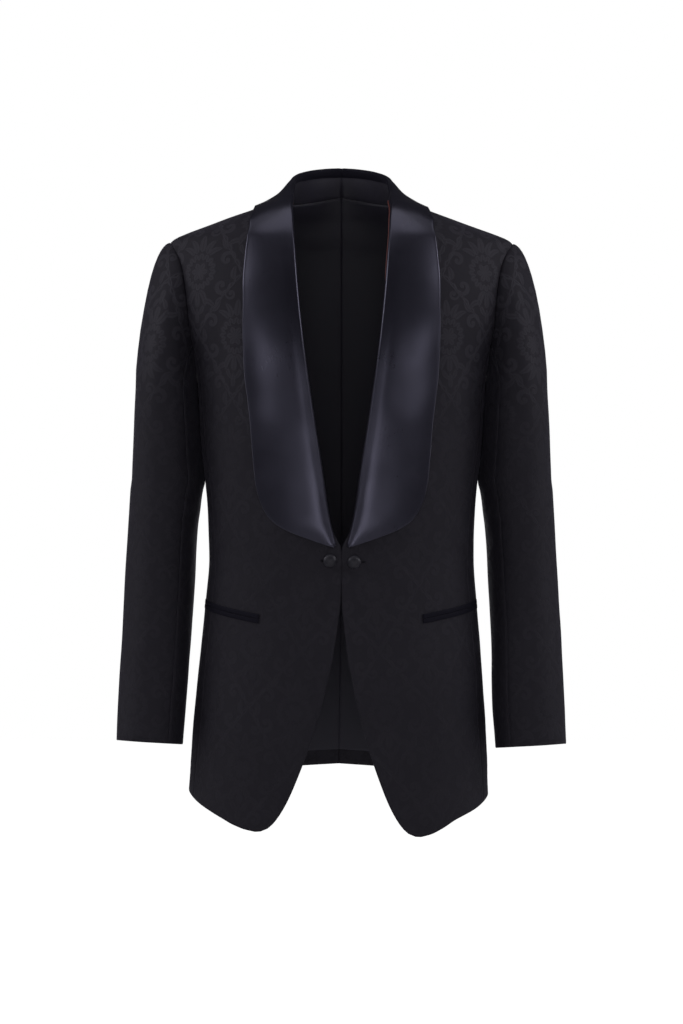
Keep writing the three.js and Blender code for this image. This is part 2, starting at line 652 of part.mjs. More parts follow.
// The thread from button to button: a bar behind the fronts and a post up through each buttonhole.
function link() {
  const { at } = buttonPlace(LEFT);
  const { radius, sides } = LINK;
  const front = at.y - BUTTON.off + SEAM_GAP;
  const back = at.y + CLOTH + LINK.behind;
  const bar = new THREE.CylinderGeometry(radius, radius, 2 * (BUTTON.x + radius), sides);
  bar.rotateZ(Math.PI / 2).translate(0, back, BUTTON.z);
  let joined = toSolid(bar);
  for (const side of [LEFT, RIGHT]) {
    const post = new THREE.CylinderGeometry(radius, radius, back - front, sides);
    post.translate(side * BUTTON.x, (front + back) / 2, BUTTON.z);
    joined = joined.add(toSolid(post));
  }
  return toGeometry(joined);
}

// The piping inside the roll: how far it is turned round the roll from its very edge, by height.
const PIPING = { radius: 0.9, gap: 0.35, sides: 6 };
const PIPING_TURN = [
  { z: -461, left: 62, right: 62 },
  { z: -140, left: 50, right: 62 },
  { z: -121, left: 32, right: 60 },
  { z: -36, left: 30, right: 58 },
  { z: -14, left: 50, right: 62 },
];

function piping(side, name) {
  const centres = [...LAPEL.slice(1), COLLAR[0]].map((section) => {
    const path = collarPath(section);
    const length = collarLength(side, path);
    const turned = radians(lookUp(PIPING_TURN, "z", section.rollZ, name));
    const around = ROLL + PIPING.gap + PIPING.radius;
    const { angle, z } = path((ROLL - around * Math.cos(turned)) / length);
    const depth = CLOTH / 2 + around * Math.sin(turned);
    return bodyPoint(side, angle, z).addScaledVector(bodyNormal(side, angle, z), -depth);
  });
  return cord(centres, PIPING.radius, PIPING.sides);
}

// A closed cord along its centres.
function cord(centres, radius, sides) {
  const places = [];
  const faces = [];
  const last = centres.length - 1;
  centres.forEach((centre, k) => {
    const along = centres[Math.min(last, k + 1)].clone().sub(centres[Math.max(0, k - 1)]).normalize();
    const across = new THREE.Vector3(0, 1, 0).cross(along).normalize();
    const up = along.clone().cross(across);
    for (let s = 0; s < sides; s++) {
      const turn = (2 * Math.PI * s) / sides;
      const at = centre.clone();
      at.addScaledVector(across, radius * Math.cos(turn)).addScaledVector(up, radius * Math.sin(turn));
      places.push(...at);
    }
  });
  const start = places.length / 3;
  places.push(...centres[0], ...centres[last]);
  for (let k = 0; k < last; k++)
    for (let s = 0; s < sides; s++) {
      const [a, b] = [k * sides + s, k * sides + ((s + 1) % sides)];
      faces.push(a, b, b + sides, a, b + sides, a + sides);
    }
  for (let s = 0; s < sides; s++) {
    const next = (s + 1) % sides;
    faces.push(start, next, s);
    faces.push(start + 1, last * sides + s, last * sides + next);
  }
  return facingOut(places, faces);
}

const FINISH = {
  cloth: { color: 0x23232a, roughness: 0.8 },
  satin: { color: 0x262634, roughness: 0.35 },
  lining: { color: 0x121216, roughness: 0.5 },
  piping: { color: 0xa8402f, roughness: 0.6 },
  thread: { color: 0x14141a, roughness: 0.7 },
};

const jacket = new THREE.Group();
jacket.name = "dinner_jacket";
const nape = bodyPoint(LEFT, 180, 0).addScaledVector(bodyNormal(LEFT, 180, 0), -CLOTH);
jacket.position.set(0, -nape.y, 0);

function add(name, geometry, finish) {
  const mesh = new THREE.Mesh(geometry, new THREE.MeshStandardMaterial(FINISH[finish]));
  mesh.name = name;
  jacket.add(mesh);
}

for (const { side, suffix, cuffDrop } of SIDES) {
  const panel = (levels, columns) => wall(trimmed(bodyGrid(side, levels, columns)), CLOTH);
  add("front_" + suffix, withHole(side, panel(frontLevels(side), COLUMNS.front)), "cloth");
  add("side_body_" + suffix, panel(sideLevels(side), COLUMNS.side), "cloth");
  add("back_" + suffix, panel(backLevels(side), COLUMNS.back), "cloth");
  const { top, under } = sleeve(side, cuffDrop);
  add("top_sleeve_" + suffix, wall(trimmed(top), SLEEVE_CLOTH), "cloth");
  add("under_sleeve_" + suffix, wall(trimmed(under), SLEEVE_CLOTH), "cloth");
  add("shawl_collar_" + suffix, wall(trimmed(collar(side)), COLLAR_CLOTH), "satin");
  add("pocket_jet_upper_" + suffix, jet(side, 1), "satin");
  add("pocket_jet_lower_" + suffix, jet(side, -1), "satin");
  add("button_" + suffix, button(side), "satin");
  add("piping_" + suffix, piping(side, suffix), "piping");
  const lining = bodyGrid(side, liningLevels(side), COLUMNS.lining, -CLOTH - LINING_GAP);
  add("back_lining_" + suffix, wall(trimmed(lining), LINING_CLOTH), "lining");
}
add("link_thread", link(), "thread");

export default jacket;
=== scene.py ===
"""Dinner jacket: the finished cloth, satin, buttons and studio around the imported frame."""

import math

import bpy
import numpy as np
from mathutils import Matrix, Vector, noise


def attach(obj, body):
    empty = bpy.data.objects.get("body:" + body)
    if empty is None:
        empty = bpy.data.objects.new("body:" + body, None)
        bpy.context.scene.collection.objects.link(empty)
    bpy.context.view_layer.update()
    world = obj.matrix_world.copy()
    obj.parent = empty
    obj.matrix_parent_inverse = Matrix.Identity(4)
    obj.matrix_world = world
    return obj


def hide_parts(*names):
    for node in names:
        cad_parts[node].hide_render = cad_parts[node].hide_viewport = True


bl_info = {
    "name": "Dinner Jacket",
    "version": (1, 0, 0),
    "blender": (4, 5, 0),
    "location": "View3D > Sidebar > Dinner Jacket",
    "description": "Makes a shawl collar dinner jacket in jacquard and satin around its packed frame",
    "category": "Add Mesh",
}

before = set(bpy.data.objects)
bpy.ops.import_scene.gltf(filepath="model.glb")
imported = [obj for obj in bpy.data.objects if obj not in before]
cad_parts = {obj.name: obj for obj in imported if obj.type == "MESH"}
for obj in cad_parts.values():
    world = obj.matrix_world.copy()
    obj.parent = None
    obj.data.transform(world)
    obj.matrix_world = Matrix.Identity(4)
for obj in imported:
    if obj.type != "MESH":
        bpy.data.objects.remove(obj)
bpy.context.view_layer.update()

# Lengths are in millimetres until a mesh is made. The front faces -Y and the wearer's left is at +X.
MM = 0.001
LEFT, RIGHT = 1, -1
SIDES = ((LEFT, "left", 4.5), (RIGHT, "right", 0.0))  # the left sleeve hangs lower by the last value
BODY_NAME = "root"

CLOTH = 2.0
SLEEVE_CLOTH = 1.8
COLLAR_CLOTH = 2.0
LINING_CLOTH = 1.0
SEAM_LAP = 0.15  # sewn edges run into each other by this much
LAY_GAP = 0.8
LINING_GAP = 2.0
WAIST_Z = -500.0
ARMPIT_Z = -262.0
SHOULDER_Z = -76.0
NECK_POINT_Z = -16.0
HEM_SWAY = -4.5
HEM_LOW = -817.5
SHOULDER_LEAN = 1.8  # the left shoulder lies this much lower


def table(columns, *rows):
    """A table with named columns, as arrays."""
    return {name: np.array(values, float) for name, values in zip(columns.split(), zip(*rows))}


# Horizontal sections of the worn body: half width, depth forward and back, and roundness.
BODY = table(
    "z half front back round",
    (30, 56, 46, 72, 2.0), (14, 58.5, 52, 75.5, 2.0), (4, 62, 56, 78.5, 2.0), (-6, 68, 60, 81, 2.0),
    (-17, 78, 65, 84, 2.0), (-27.5, 96, 70, 87, 1.95), (-35.5, 116, 75, 90, 2.0),
    (-43.5, 138, 79.6, 92, 2.0), (-55.5, 170, 85.2, 95, 2.0), (-66.8, 201, 90, 99, 2.0),
    (-72.3, 213.5, 92.2, 101, 2.0), (-76, 218, 93.7, 102, 2.0), (-84, 221.3, 96.7, 104, 2.0),
    (-100, 222.3, 102.6, 107, 2.0), (-120, 220.5, 108.8, 110, 2.07), (-140, 217, 113.4, 112, 2.15),
    (-180, 207, 119.4, 114, 2.25), (-220, 191, 123, 114, 2.3),
    (-245, 185, 124, 113, 2.3), (-300, 181, 123, 109, 2.3), (-340, 178.6, 120.5, 104.5, 2.3),
    (-360, 176.6, 119, 102, 2.3), (-382, 174.2, 117.5, 100, 2.3), (-420, 171.0, 114.5, 96, 2.3),
    (-480, 168.6, 112, 93, 2.3), (-540, 173.5, 113, 96, 2.3),
    (-600, 178.8, 117, 103, 2.3), (-680, 185, 121.5, 111, 2.3), (-760, 190, 124.5, 116, 2.3),
    (-830, 195, 127, 119, 2.3),
)
# Height of the hem by the angle round the body: 0 is the centre front, 180 the centre back.
HEM = table(
    "angle left right",
    (0, -819.5, -813), (40, -819.5, -813), (46, -817, -811), (52, -810, -806), (58, -801, -798.5),
    (68, -791.5, -787), (80, -782, -776.5), (90, -777, -771.5), (120, -768, -765), (150, -759, -758),
    (180, -754.5, -754.5),
)
# Edge of each front, out from the centre line.
FRONT_EDGE = table(
    "z x",
    (-16, 67), (-40, 65.5), (-66, 64), (-130, 59), (-190, 53.5), (-250, 46), (-296, 39), (-348, 31),
    (-382, 25.5), (-430, 17), (-446, 9.5), (-455, 5), (-463, 1.2), (-470, 0.2), (-498, 0.1),
    (-508, 0.3), (-528, 0.7), (-545, 2.2), (-561, 4.2), (-580, 6.6), (-605, 10.4), (-629, 15.4),
    (-654, 21.2), (-678, 27.4), (-703, 34.3),
    (-727, 42.2), (-751.5, 51.3), (-776, 61.5), (-793, 70.5), (-804, 78), (-811.7, 85.5),
    (-816, 93), (-817.5, 101.8),
)
SIDE_SEAMS = table(
    "z front back",
    (-190, 78, 106), (-262, 77, 108), (-400, 75, 111), (-500, 74, 112), (-650, 75, 111),
    (-830, 76, 110),
)
ARMHOLE_BOTTOM = -243.0
ARMHOLE_FRONT = 15.5
ARMHOLE_BACK = 17.0
# The shawl collar's roll line and outer edge below the shoulder, and round the neck.
LAPEL = table(
    "roll_x roll_z edge_x edge_z",
    (5.5, -461, 9.5, -463.5), (9.5, -447, 24, -459), (14, -428, 43, -452.5), (17.5, -407, 63, -445),
    (20.5, -385, 81, -435), (24, -362, 94, -420), (27.5, -339, 102, -400), (32, -311, 106.5, -377),
    (36.5, -281, 109, -350), (41, -250, 111.5, -318), (45, -220, 115, -285), (48.5, -190, 119, -250),
    (52, -156, 121, -212), (55, -121, 121.5, -172), (57.5, -88, 121.5, -132), (59.5, -60, 119, -98),
    (60.3, -48, 117.3, -83), (61, -36, 115.2, -69),
)
COLLAR = table(
    "roll roll_z edge edge_z inside",
    (51, -23.5, 60.8, -56, 12), (60, -14, 65, -46, 22), (73, -1, 73, -37.5, 37), (90, 8, 91, -31.5, 49),
    (110, 15.5, 111, -30, 52), (130, 21.5, 132, -27, 51), (150, 27, 152, -24, 48),
    (166, 30, 167, -22, 45), (180, 31, 180, -21, 44),
)
# Sections of the sleeve below the armpit.
ARM = table(
    "z inner outer front back tip",
    (-262, 183.4, 262.5, -76, 78, 0), (-306, 180.2, 265.3, -73, 79, 0),
    (-340, 178.2, 266.8, -70, 79, 0), (-360, 176.2, 267.6, -68, 78, 0),
    (-380, 174.4, 268.6, -65, 77, 0), (-389, 176.6, 270, -64, 76, 0),
    (-400, 178.7, 270.8, -63, 75.5, 0), (-420, 181.2, 272, -62, 74, 0),
    (-434, 183.3, 272.8, -61, 73, 0), (-460, 185.6, 274, -60, 70, 0.3),
    (-511, 188, 276.7, -62, 63, 0.8), (-562, 190.7, 278.8, -66, 54, 1.3),
    (-613, 194, 281, -71, 43, 1.8), (-665, 197.5, 283, -75, 31, 2.3), (-718, 201, 284.5, -78, 19, 2.7),
)
CUFF_Z = -711.5
CUFF_FRONT_RISE = 6.0
FOREARM_SEAM = 128.0  # turns round the sleeve at which its two seams lie
HINDARM_SEAM = 246.0
CAP_DROP = 0.58  # how steeply the sleeve leaves the armhole over the shoulder
UNDER_DROP = 1.5  # and under the arm
CAP_FULL = 0.42  # how full the sleeve head is at the armhole
ARM_FULL = 0.85  # and where it meets the arm
WIDER_CUFF = 6.0  # the left sleeve widens by this much towards its cuff
WIDER_FROM = -560.0
WIDER_OVER = 110.0
ARM_ROUND = 2.15


def curve(rows, key, column):
    """A smooth curve through a column of a table that doesn't overshoot its rows."""
    order = np.argsort(rows[key])
    at, values = rows[key][order], rows[column][order]
    span = np.diff(at)
    slope = np.diff(values) / span
    tangent = np.empty_like(values)
    tangent[0], tangent[-1] = slope[0], slope[-1]
    before, after = slope[:-1], slope[1:]
    with np.errstate(divide="ignore", invalid="ignore"):
        tangent[1:-1] = np.where(before * after > 0, 2 * before * after / (before + after), 0)

    def read(where):
        where = np.clip(where, at[0], at[-1])
        i = np.clip(np.searchsorted(at, where, side="right") - 1, 0, len(span) - 1)
        t = (where - at[i]) / span[i]
        bend = t * t * (3 - 2 * t)
        swing = span[i] * t * (1 - t) * ((1 - t) * tangent[i] - t * tangent[i + 1])
        return values[i] * (1 - bend) + values[i + 1] * bend + swing

    return read


body_half, body_front, body_back, body_round = (
    curve(BODY, "z", column) for column in ("half", "front", "back", "round")
)
hem_z = {LEFT: curve(HEM, "angle", "left"), RIGHT: curve(HEM, "angle", "right")}
edge_x = curve(FRONT_EDGE, "z", "x")
front_seam, back_seam = curve(SIDE_SEAMS, "z", "front"), curve(SIDE_SEAMS, "z", "back")
arm_read = {column: curve(ARM, "z", column) for column in ("inner", "outer", "front", "back", "tip")}


def sine(degrees):
    return np.sin(np.radians(degrees))


def cosine(degrees):
    return np.cos(np.radians(degrees))


def smooth(share):
    share = np.clip(share, 0, 1)
    return share * share * (3 - 2 * share)


def unit(vectors):
    return vectors / np.maximum(np.linalg.norm(vectors, axis=-1, keepdims=True), 1e-9)


def plumb_point(side, angle, z):
    """A point on the outside of the cloth, with y from the plumb line."""
    angle, z = np.broadcast_arrays(np.asarray(angle, float), np.asarray(z, float))
    depth = np.where(cosine(angle) > 0, body_front(z), body_back(z))
    power = body_round(z)
    reach = np.abs(sine(angle) / body_half(z)) ** power + np.abs(cosine(angle) / depth) ** power
    reach = reach ** (-1 / power)
    sway = HEM_SWAY * np.clip((z - WAIST_Z) / (HEM_LOW - WAIST_Z), 0, 1)
    lean = SHOULDER_LEAN * (side == LEFT) * sine(angle) * smooth((z + 150) / 90)
    return np.stack([side * reach * sine(angle) + sway, -reach * cosine(angle), z - lean], -1)


def body_normal(side, angle, z):
    """The way out of the cloth."""
    around = plumb_point(side, angle + 0.5, z) - plumb_point(side, angle - 0.5, z)
    up = plumb_point(side, angle, z + 0.5) - plumb_point(side, angle, z - 0.5)
    return unit(np.cross(around, up) * side)


nape = plumb_point(LEFT, 180, 0.0)
nape_out = body_normal(LEFT, np.array(180.0), np.array(0.0))
NAPE_Y = float((nape - CLOTH * nape_out)[1])


def body_point(side, angle, z):
    return plumb_point(side, angle, z) - (0, NAPE_Y, 0)


def angle_at(x, z):
    """The angle at which the front of the body is x out from the centre line."""
    power = body_round(z)
    forward = body_front(z) * (1 - np.minimum(1, x / body_half(z)) ** power) ** (1 / power)
    return np.degrees(np.arctan2(x, forward))


def edge_angle(z):
    return angle_at(edge_x(z), z)


def hem_height(side, angle):
    return hem_z[side](angle)


# Soft folds of the worn cloth, as troughs: where each starts and ends by angle round the body and
# height, how far it bows sideways in degrees, how wide and deep it is, and where along it is deepest.
# A minus depth is a ridge.
BODY_FOLDS = (
    # the skirt turns under at the side and flares again at the hem
    (68, -585, 70, -742, 3, 20, 2.6, 0.62),
    (48, -600, 52, -775, 2, 16, -1.3, 0.55),
    (30, -640, 37, -790, -2, 18, 0.9, 0.6),
    (84, -640, 82, -775, 0, 15, -1.4, 0.7),
    # pulls from the fastening
    (6, -486, 38, -512, 2, 10, 1.0, 0.2),
    (5, -494, 30, -560, -3, 12, -1.3, 0.45),
    (8, -474, 44, -452, -2, 11, 0.9, 0.25),
    (20, -500, 62, -520, 2, 13, -0.8, 0.5),
    # waist, in front of the side seam
    (60, -470, 78, -492, 0, 9, 1.0, 0.6),
    (58, -500, 80, -508, 0, 8, 0.8, 0.7),
    # in front of the armhole
    (66, -130, 63, -300, -4, 12, 1.5, 0.55),
    (56, -190, 58, -345, 2, 14, -0.9, 0.5),
    (72, -265, 60, -330, 2, 9, 1.0, 0.3),
    # under the arm
    (84, -268, 88, -380, 2, 10, 1.1, 0.4),
    (98, -275, 95, -420, -2, 12, -1.1, 0.5),
    # behind the armhole
    (112, -150, 116, -330, 4, 13, 1.8, 0.5),
    (122, -180, 124, -390, 2, 15, -1.4, 0.5),
    (131, -230, 128, -400, -3, 12, 0.9, 0.4),
    # small of the back
    (118, -470, 152, -455, -3, 10, 1.2, 0.4),
    (115, -500, 146, -496, 2, 9, 1.0, 0.35),
    (122, -524, 160, -545, 2, 12, 0.9, 0.5),
    # under the collar at the back
    (150, -62, 178, -72, -5, 10, 1.0, 0.6),
    # skirt of the back
    (128, -590, 124, -752, 2, 20, 1.8, 0.7),
    (146, -600, 145, -752, 0, 18, -1.6, 0.7),
    (165, -610, 166, -752, 1, 18, 1.3, 0.7),
)
# The same on the sleeve, by turn round it: 0 is the outside, 90 the front, 180 next to the body.
SLEEVE_FOLDS = (
    # elbow, on the inside of the bend
    (112, -398, 168, -424, 8, 8, 1.5, 0.6),
    (104, -424, 176, -440, -6, 7, 1.8, 0.6),
    (108, -452, 178, -458, 6, 8, 1.4, 0.65),
    (118, -480, 170, -474, -5, 8, 1.0, 0.6),
    (60, -430, 112, -446, 6, 10, 0.8, 0.6),
    # down the front of the upper arm
    (86, -276, 76, -392, -6, 14, 1.0, 0.4),
    (50, -286, 40, -440, 6, 18, -0.9, 0.5),
    (20, -520, 60, -610, 6, 16, 0.8, 0.5),
    (88, -540, 96, -690, 4, 14, 0.8, 0.6),
    # outside and back of the elbow
    (-52, -400, -84, -470, 10, 13, 1.4, 0.5),
    (-60, -450, -104, -430, -8, 11, 1.1, 0.5),
    (-88, -500, -74, -640, 6, 15, 1.0, 0.5),
    (-110, -560, -98, -700, -4, 13, -0.9, 0.5),
    # under the arm
    (214, -270, 226, -380, 6, 12, 1.6, 0.3),
    (190, -280, 196, -360, -6, 9, 1.0, 0.3),
)
FOLD_STEPS = 16
RIDGE_OUT = 1.9  # widths from a trough to the ridges beside it
RIDGE_SHARE = 0.28
DRIFT = {LEFT: 0.0, RIGHT: 5.0}  # the right side's folds lie this much higher
STRENGTH = {LEFT: 1.0, RIGHT: 0.88}
UNEVEN = ((0.011, 0.9), (0.027, 0.35))  # per millimetre, and how far the cloth stands out or in


def fold_path(fold, place):
    start_a, start_z, end_a, end_z, bow = fold[:5]
    share = np.linspace(0, 1, FOLD_STEPS)
    angle = start_a + (end_a - start_a) * share + bow * np.sin(np.pi * share)
    return place(angle, start_z + (end_z - start_z) * share), share


def relief(points, folds, place, strength):
    """How far each point stands out of the plain form."""
    flat = points.reshape(-1, 3)
    out = np.zeros(len(flat))
    for fold in folds:
        width, depth, peak = fold[5:]
        path, share = fold_path(fold, place)
        reach = width * (RIDGE_OUT + 2)
        near = np.all((flat > path.min(0) - reach) & (flat < path.max(0) + reach), axis=1)
        if not near.any():
            continue
        gaps = np.linalg.norm(flat[near][:, None] - path[None], axis=2)
        nearest = gaps.argmin(1)
        away = gaps[np.arange(len(nearest)), nearest] / width
        along = share[nearest]
        taper = smooth(np.where(along < peak, along / max(peak, 1e-6), (1 - along) / (1 - peak)))
        section = np.exp(-away**2) - RIDGE_SHARE * np.exp(-((away - RIDGE_OUT) ** 2))
        out[near] -= strength * depth * taper * section
    for scale, height in UNEVEN:
        out += height * np.array([noise.noise(Vector(point * scale)) for point in flat])
    return out.reshape(points.shape[:-1])


def body_relief(side, points):
    strength = STRENGTH[side] * bpy.context.scene.jacket_cloth.fold_depth
    place = lambda angle, z: body_point(side, angle, z + DRIFT[side])
    return relief(points, BODY_FOLDS, place, strength)


def on_body(side, angle, z, lift=0.0):
    """Points of the cloth with its folds, and the ways out of them."""
    base = body_point(side, angle, z)
    out = body_normal(side, angle, z)
    raised = base + out * (body_relief(side, base) + lift)[..., None]
    return raised, out


# Grids over the panels
def spread(count, rim):
    """Shares of the way across a panel, with one more close to each edge."""
    return np.concatenate([[0, rim], np.linspace(0, 1, count + 1)[1:-1], [1 - rim, 1]])


def angle_between(start, end, share, z):
    """Angles across a panel, closer together where the form turns sharply."""
    flat = body_front(z) / body_half(z)
    turn = lambda angle: np.arctan2(flat * sine(angle), cosine(angle))
    at = turn(start) + (turn(end) - turn(start)) * share
    return np.degrees(np.arctan2(np.sin(at), flat * np.cos(at)))


def armhole_reach(z, widest):
    middle = (SHOULDER_Z + ARMHOLE_BOTTOM) / 2
    share = (z - middle) / (SHOULDER_Z - middle)
    return widest * np.sqrt(np.maximum(0, 1 - share * share))


def seam_top(seam, widest):
    middle = (SHOULDER_Z + ARMHOLE_BOTTOM) / 2
    reach = np.abs(90 - seam) / widest
    return middle - (SHOULDER_Z - middle) * np.sqrt(1 - reach * reach)


FRONT_SEAM_TOP = float(seam_top(78.0, ARMHOLE_FRONT))
BACK_SEAM_TOP = float(seam_top(106.0, ARMHOLE_BACK))
STEP = 5.5  # height of a row of cells


def heights(start, end, step=STEP):
    """Even heights between two, without the last one."""
    count = max(1, int(math.ceil(abs(end - start) / step)))
    return list(np.linspace(start, end, count + 1)[:-1])


def armhole_heights(low):
    """Heights up the armhole, closer together where its edge turns over the top."""
    middle = (SHOULDER_Z + ARMHOLE_BOTTOM) / 2
    turn = math.acos((low - middle) / (SHOULDER_Z - middle))
    return [middle + (SHOULDER_Z - middle) * math.cos(t) for t in np.linspace(turn, 0, 34)[:-1]]


SKIRT = [1.0, 0.997] + list(np.linspace(0.985, 0.0, 58)[:-1])
SHOULDER_TOP = heights(SHOULDER_Z, NECK_POINT_Z - 1.0, 3.0) + [NECK_POINT_Z - 1.0, NECK_POINT_Z]


def level(start, end, height):
    return {"start": start, "end": end, "height": height}


def lower_levels(side, start, end):
    """Levels of the skirt and the trunk up to the armpit."""
    rows = []
    for share in SKIRT:
        height = lambda angle, share=share: WAIST_Z + (hem_height(side, angle) - WAIST_Z) * share
        rows.append(level(start(share, height), end(share, height), height))
    for z in heights(WAIST_Z, ARMPIT_Z):
        height = lambda angle, z=z: z + 0 * angle
        rows.append(level(start(0, height), end(0, height), height))
    return rows


def at_front_seam(share, height):
    """The angle of the front side seam at a level."""
    return front_seam(height(90.0))


def at_back_seam(share, height):
    """The angle of the back side seam at a level."""
    return back_seam(height(90.0))


def front_levels(side):
    def edge(share, height):
        return edge_angle(WAIST_Z + (HEM_LOW - WAIST_Z) * share if share else height(0.0))

    rows = lower_levels(side, edge, at_front_seam)
    upper = heights(ARMPIT_Z, FRONT_SEAM_TOP) + armhole_heights(FRONT_SEAM_TOP) + SHOULDER_TOP
    for z in upper:
        if z >= SHOULDER_Z:
            end = 90.0
        elif z < FRONT_SEAM_TOP:
            end = front_seam(z)
        else:
            end = 90 - armhole_reach(z, ARMHOLE_FRONT)
        rows.append(level(edge_angle(z), end, lambda angle, z=z: z + 0 * angle))
    return rows


def back_levels(side):
    rows = lower_levels(side, at_back_seam, lambda share, height: 180.0)
    upper = heights(ARMPIT_Z, BACK_SEAM_TOP) + armhole_heights(BACK_SEAM_TOP) + SHOULDER_TOP
    start_climb = 53.0  # from this far below the nape the rows rise towards the centre back
    for z in upper:
        if z >= SHOULDER_Z:
            start = 90.0
        elif z < BACK_SEAM_TOP:
            start = back_seam(z)
        else:
            start = 90 + armhole_reach(z, ARMHOLE_BACK)
        climb = max(0.0, (z + start_climb) / (NECK_POINT_Z + start_climb)) * -NECK_POINT_Z
        height = lambda angle, z=z, climb=climb: z + climb * sine((angle - 90) / 2) ** 2 * 2
        rows.append(level(start, 180.0, height))
    return rows


def side_levels(side):
    def foot(angle):
        within = np.clip(angle, 78.0, 106.0)
        return np.where(within < 90, seam_top(within, ARMHOLE_FRONT), seam_top(within, ARMHOLE_BACK))

    rows = lower_levels(side, at_front_seam, at_back_seam)
    for share in list(np.linspace(0, 1, 8)[:-1]) + [0.97, 1.0]:
        front = ARMPIT_Z + (FRONT_SEAM_TOP - ARMPIT_Z) * share
        back = ARMPIT_Z + (BACK_SEAM_TOP - ARMPIT_Z) * share
        start = front_seam(front) if share < 1 else 78.0
        end = back_seam(back) if share < 1 else 106.0
        height = lambda angle, share=share: ARMPIT_Z + (foot(angle) - ARMPIT_Z) * share
        rows.append(level(start, end, height))
    return rows


LINING_HEM = 20.0  # the lining ends this far above the hem
LINING_NECK = 9.5  # this far below the neck
LINING_ARMHOLE = 3.0  # and this many degrees inside the armhole


def lining_levels(side):
    rows = back_levels(side)
    below_armhole = len(heights(WAIST_Z, ARMPIT_Z)) + len(heights(ARMPIT_Z, BACK_SEAM_TOP))
    first_armhole = len(SKIRT) + below_armhole
    for number, row in enumerate(rows):
        raised = row["height"]
        if number < len(SKIRT):
            lift = LINING_HEM * SKIRT[number]
            row["height"] = lambda angle, raised=raised, lift=lift: raised(angle) + lift
        elif number >= len(rows) - 2:
            row["height"] = lambda angle, raised=raised: raised(angle) - LINING_NECK
        if number >= first_armhole:
            row["start"] = row["start"] + LINING_ARMHOLE
    return rows[:-2] + rows[-1:]


def panel(side, levels, columns, rim, lift=0.0):
    """The grid of a body panel, with the ways out and the seams drawn apart."""
    share = spread(columns, rim)
    angles, z = [], []
    for row in levels:
        at = angle_between(row["start"], row["end"], share, row["height"](90.0))
        angles.append(at)
        z.append(row["height"](at))
    points, out = on_body(side, np.array(angles), np.array(z), lift)
    return lapped(points), out


def lapped(points):
    """Lets the four edges run on by half a seam's lap."""
    points = points.copy()
    for edge, inner in (
        (np.s_[:, 0], np.s_[:, 2]), (np.s_[:, -1], np.s_[:, -3]),
        (np.s_[0], np.s_[2]), (np.s_[-1], np.s_[-3]),
    ):
        points[edge] -= unit(points[inner] - points[edge]) * SEAM_LAP / 2
    return points


def grid_normals(points, outward):
    """The ways out of a grid, from its neighbours."""
    return unit(np.cross(np.gradient(points, axis=1), np.gradient(points, axis=0)) * outward)


# Meshes
EDGE_SINK = 0.34  # a cut edge is rounded by this share of the cloth


def grid_quads(number):
    """The faces between the rows and columns of a numbered grid."""
    corners = [number[:-1, :-1], number[:-1, 1:], number[1:, 1:], number[1:, :-1]]
    return np.stack(corners, -1).reshape(-1, 4)


def flat_pattern(points):
    """The grid laid flat as a pattern piece, in metres, with its grain upright."""
    high, wide = points.shape[:2]
    number = np.arange(high * wide).reshape(high, wide)
    quads = grid_quads(number)
    mesh = bpy.data.meshes.new("pattern")
    mesh.from_pydata((points.reshape(-1, 3) * MM).tolist(), [], quads.tolist())
    piece = bpy.data.objects.new("pattern", mesh)
    bpy.context.scene.collection.objects.link(piece)
    select_only(piece)
    mesh.uv_layers.new(name="cut")
    bpy.ops.object.mode_set(mode="EDIT")
    bpy.ops.mesh.select_all(action="SELECT")
    bpy.ops.uv.unwrap(method="ANGLE_BASED", margin=0.0)
    bpy.ops.object.mode_set(mode="OBJECT")
    corners = np.zeros(len(mesh.loops) * 2)
    mesh.uv_layers["cut"].data.foreach_get("uv", corners)
    vertex = np.zeros(len(mesh.loops), int)
    mesh.loops.foreach_get("vertex_index", vertex)
    flat = np.zeros((high * wide, 2))
    flat[vertex] = corners.reshape(-1, 2)
    flat = flat.reshape(high, wide, 2)
    bpy.data.objects.remove(piece)
    bpy.data.meshes.remove(mesh)
    rise = np.diff(flat, axis=0)
    true_rise = np.linalg.norm(np.diff(points, axis=0), axis=-1)
    turn = math.atan2((rise[..., 0] * true_rise).sum(), (rise[..., 1] * true_rise).sum())
    level_part, upright_part = math.cos(turn), math.sin(turn)
    flat = flat @ np.array([[level_part, upright_part], [-upright_part, level_part]])
    flat *= true_rise.sum() * MM / np.linalg.norm(rise, axis=-1).sum()
    return flat - flat[high // 2, 0]


def select_only(piece):
    bpy.ops.object.select_all(action="DESELECT")
    piece.select_set(True)
    bpy.context.view_layer.objects.active = piece


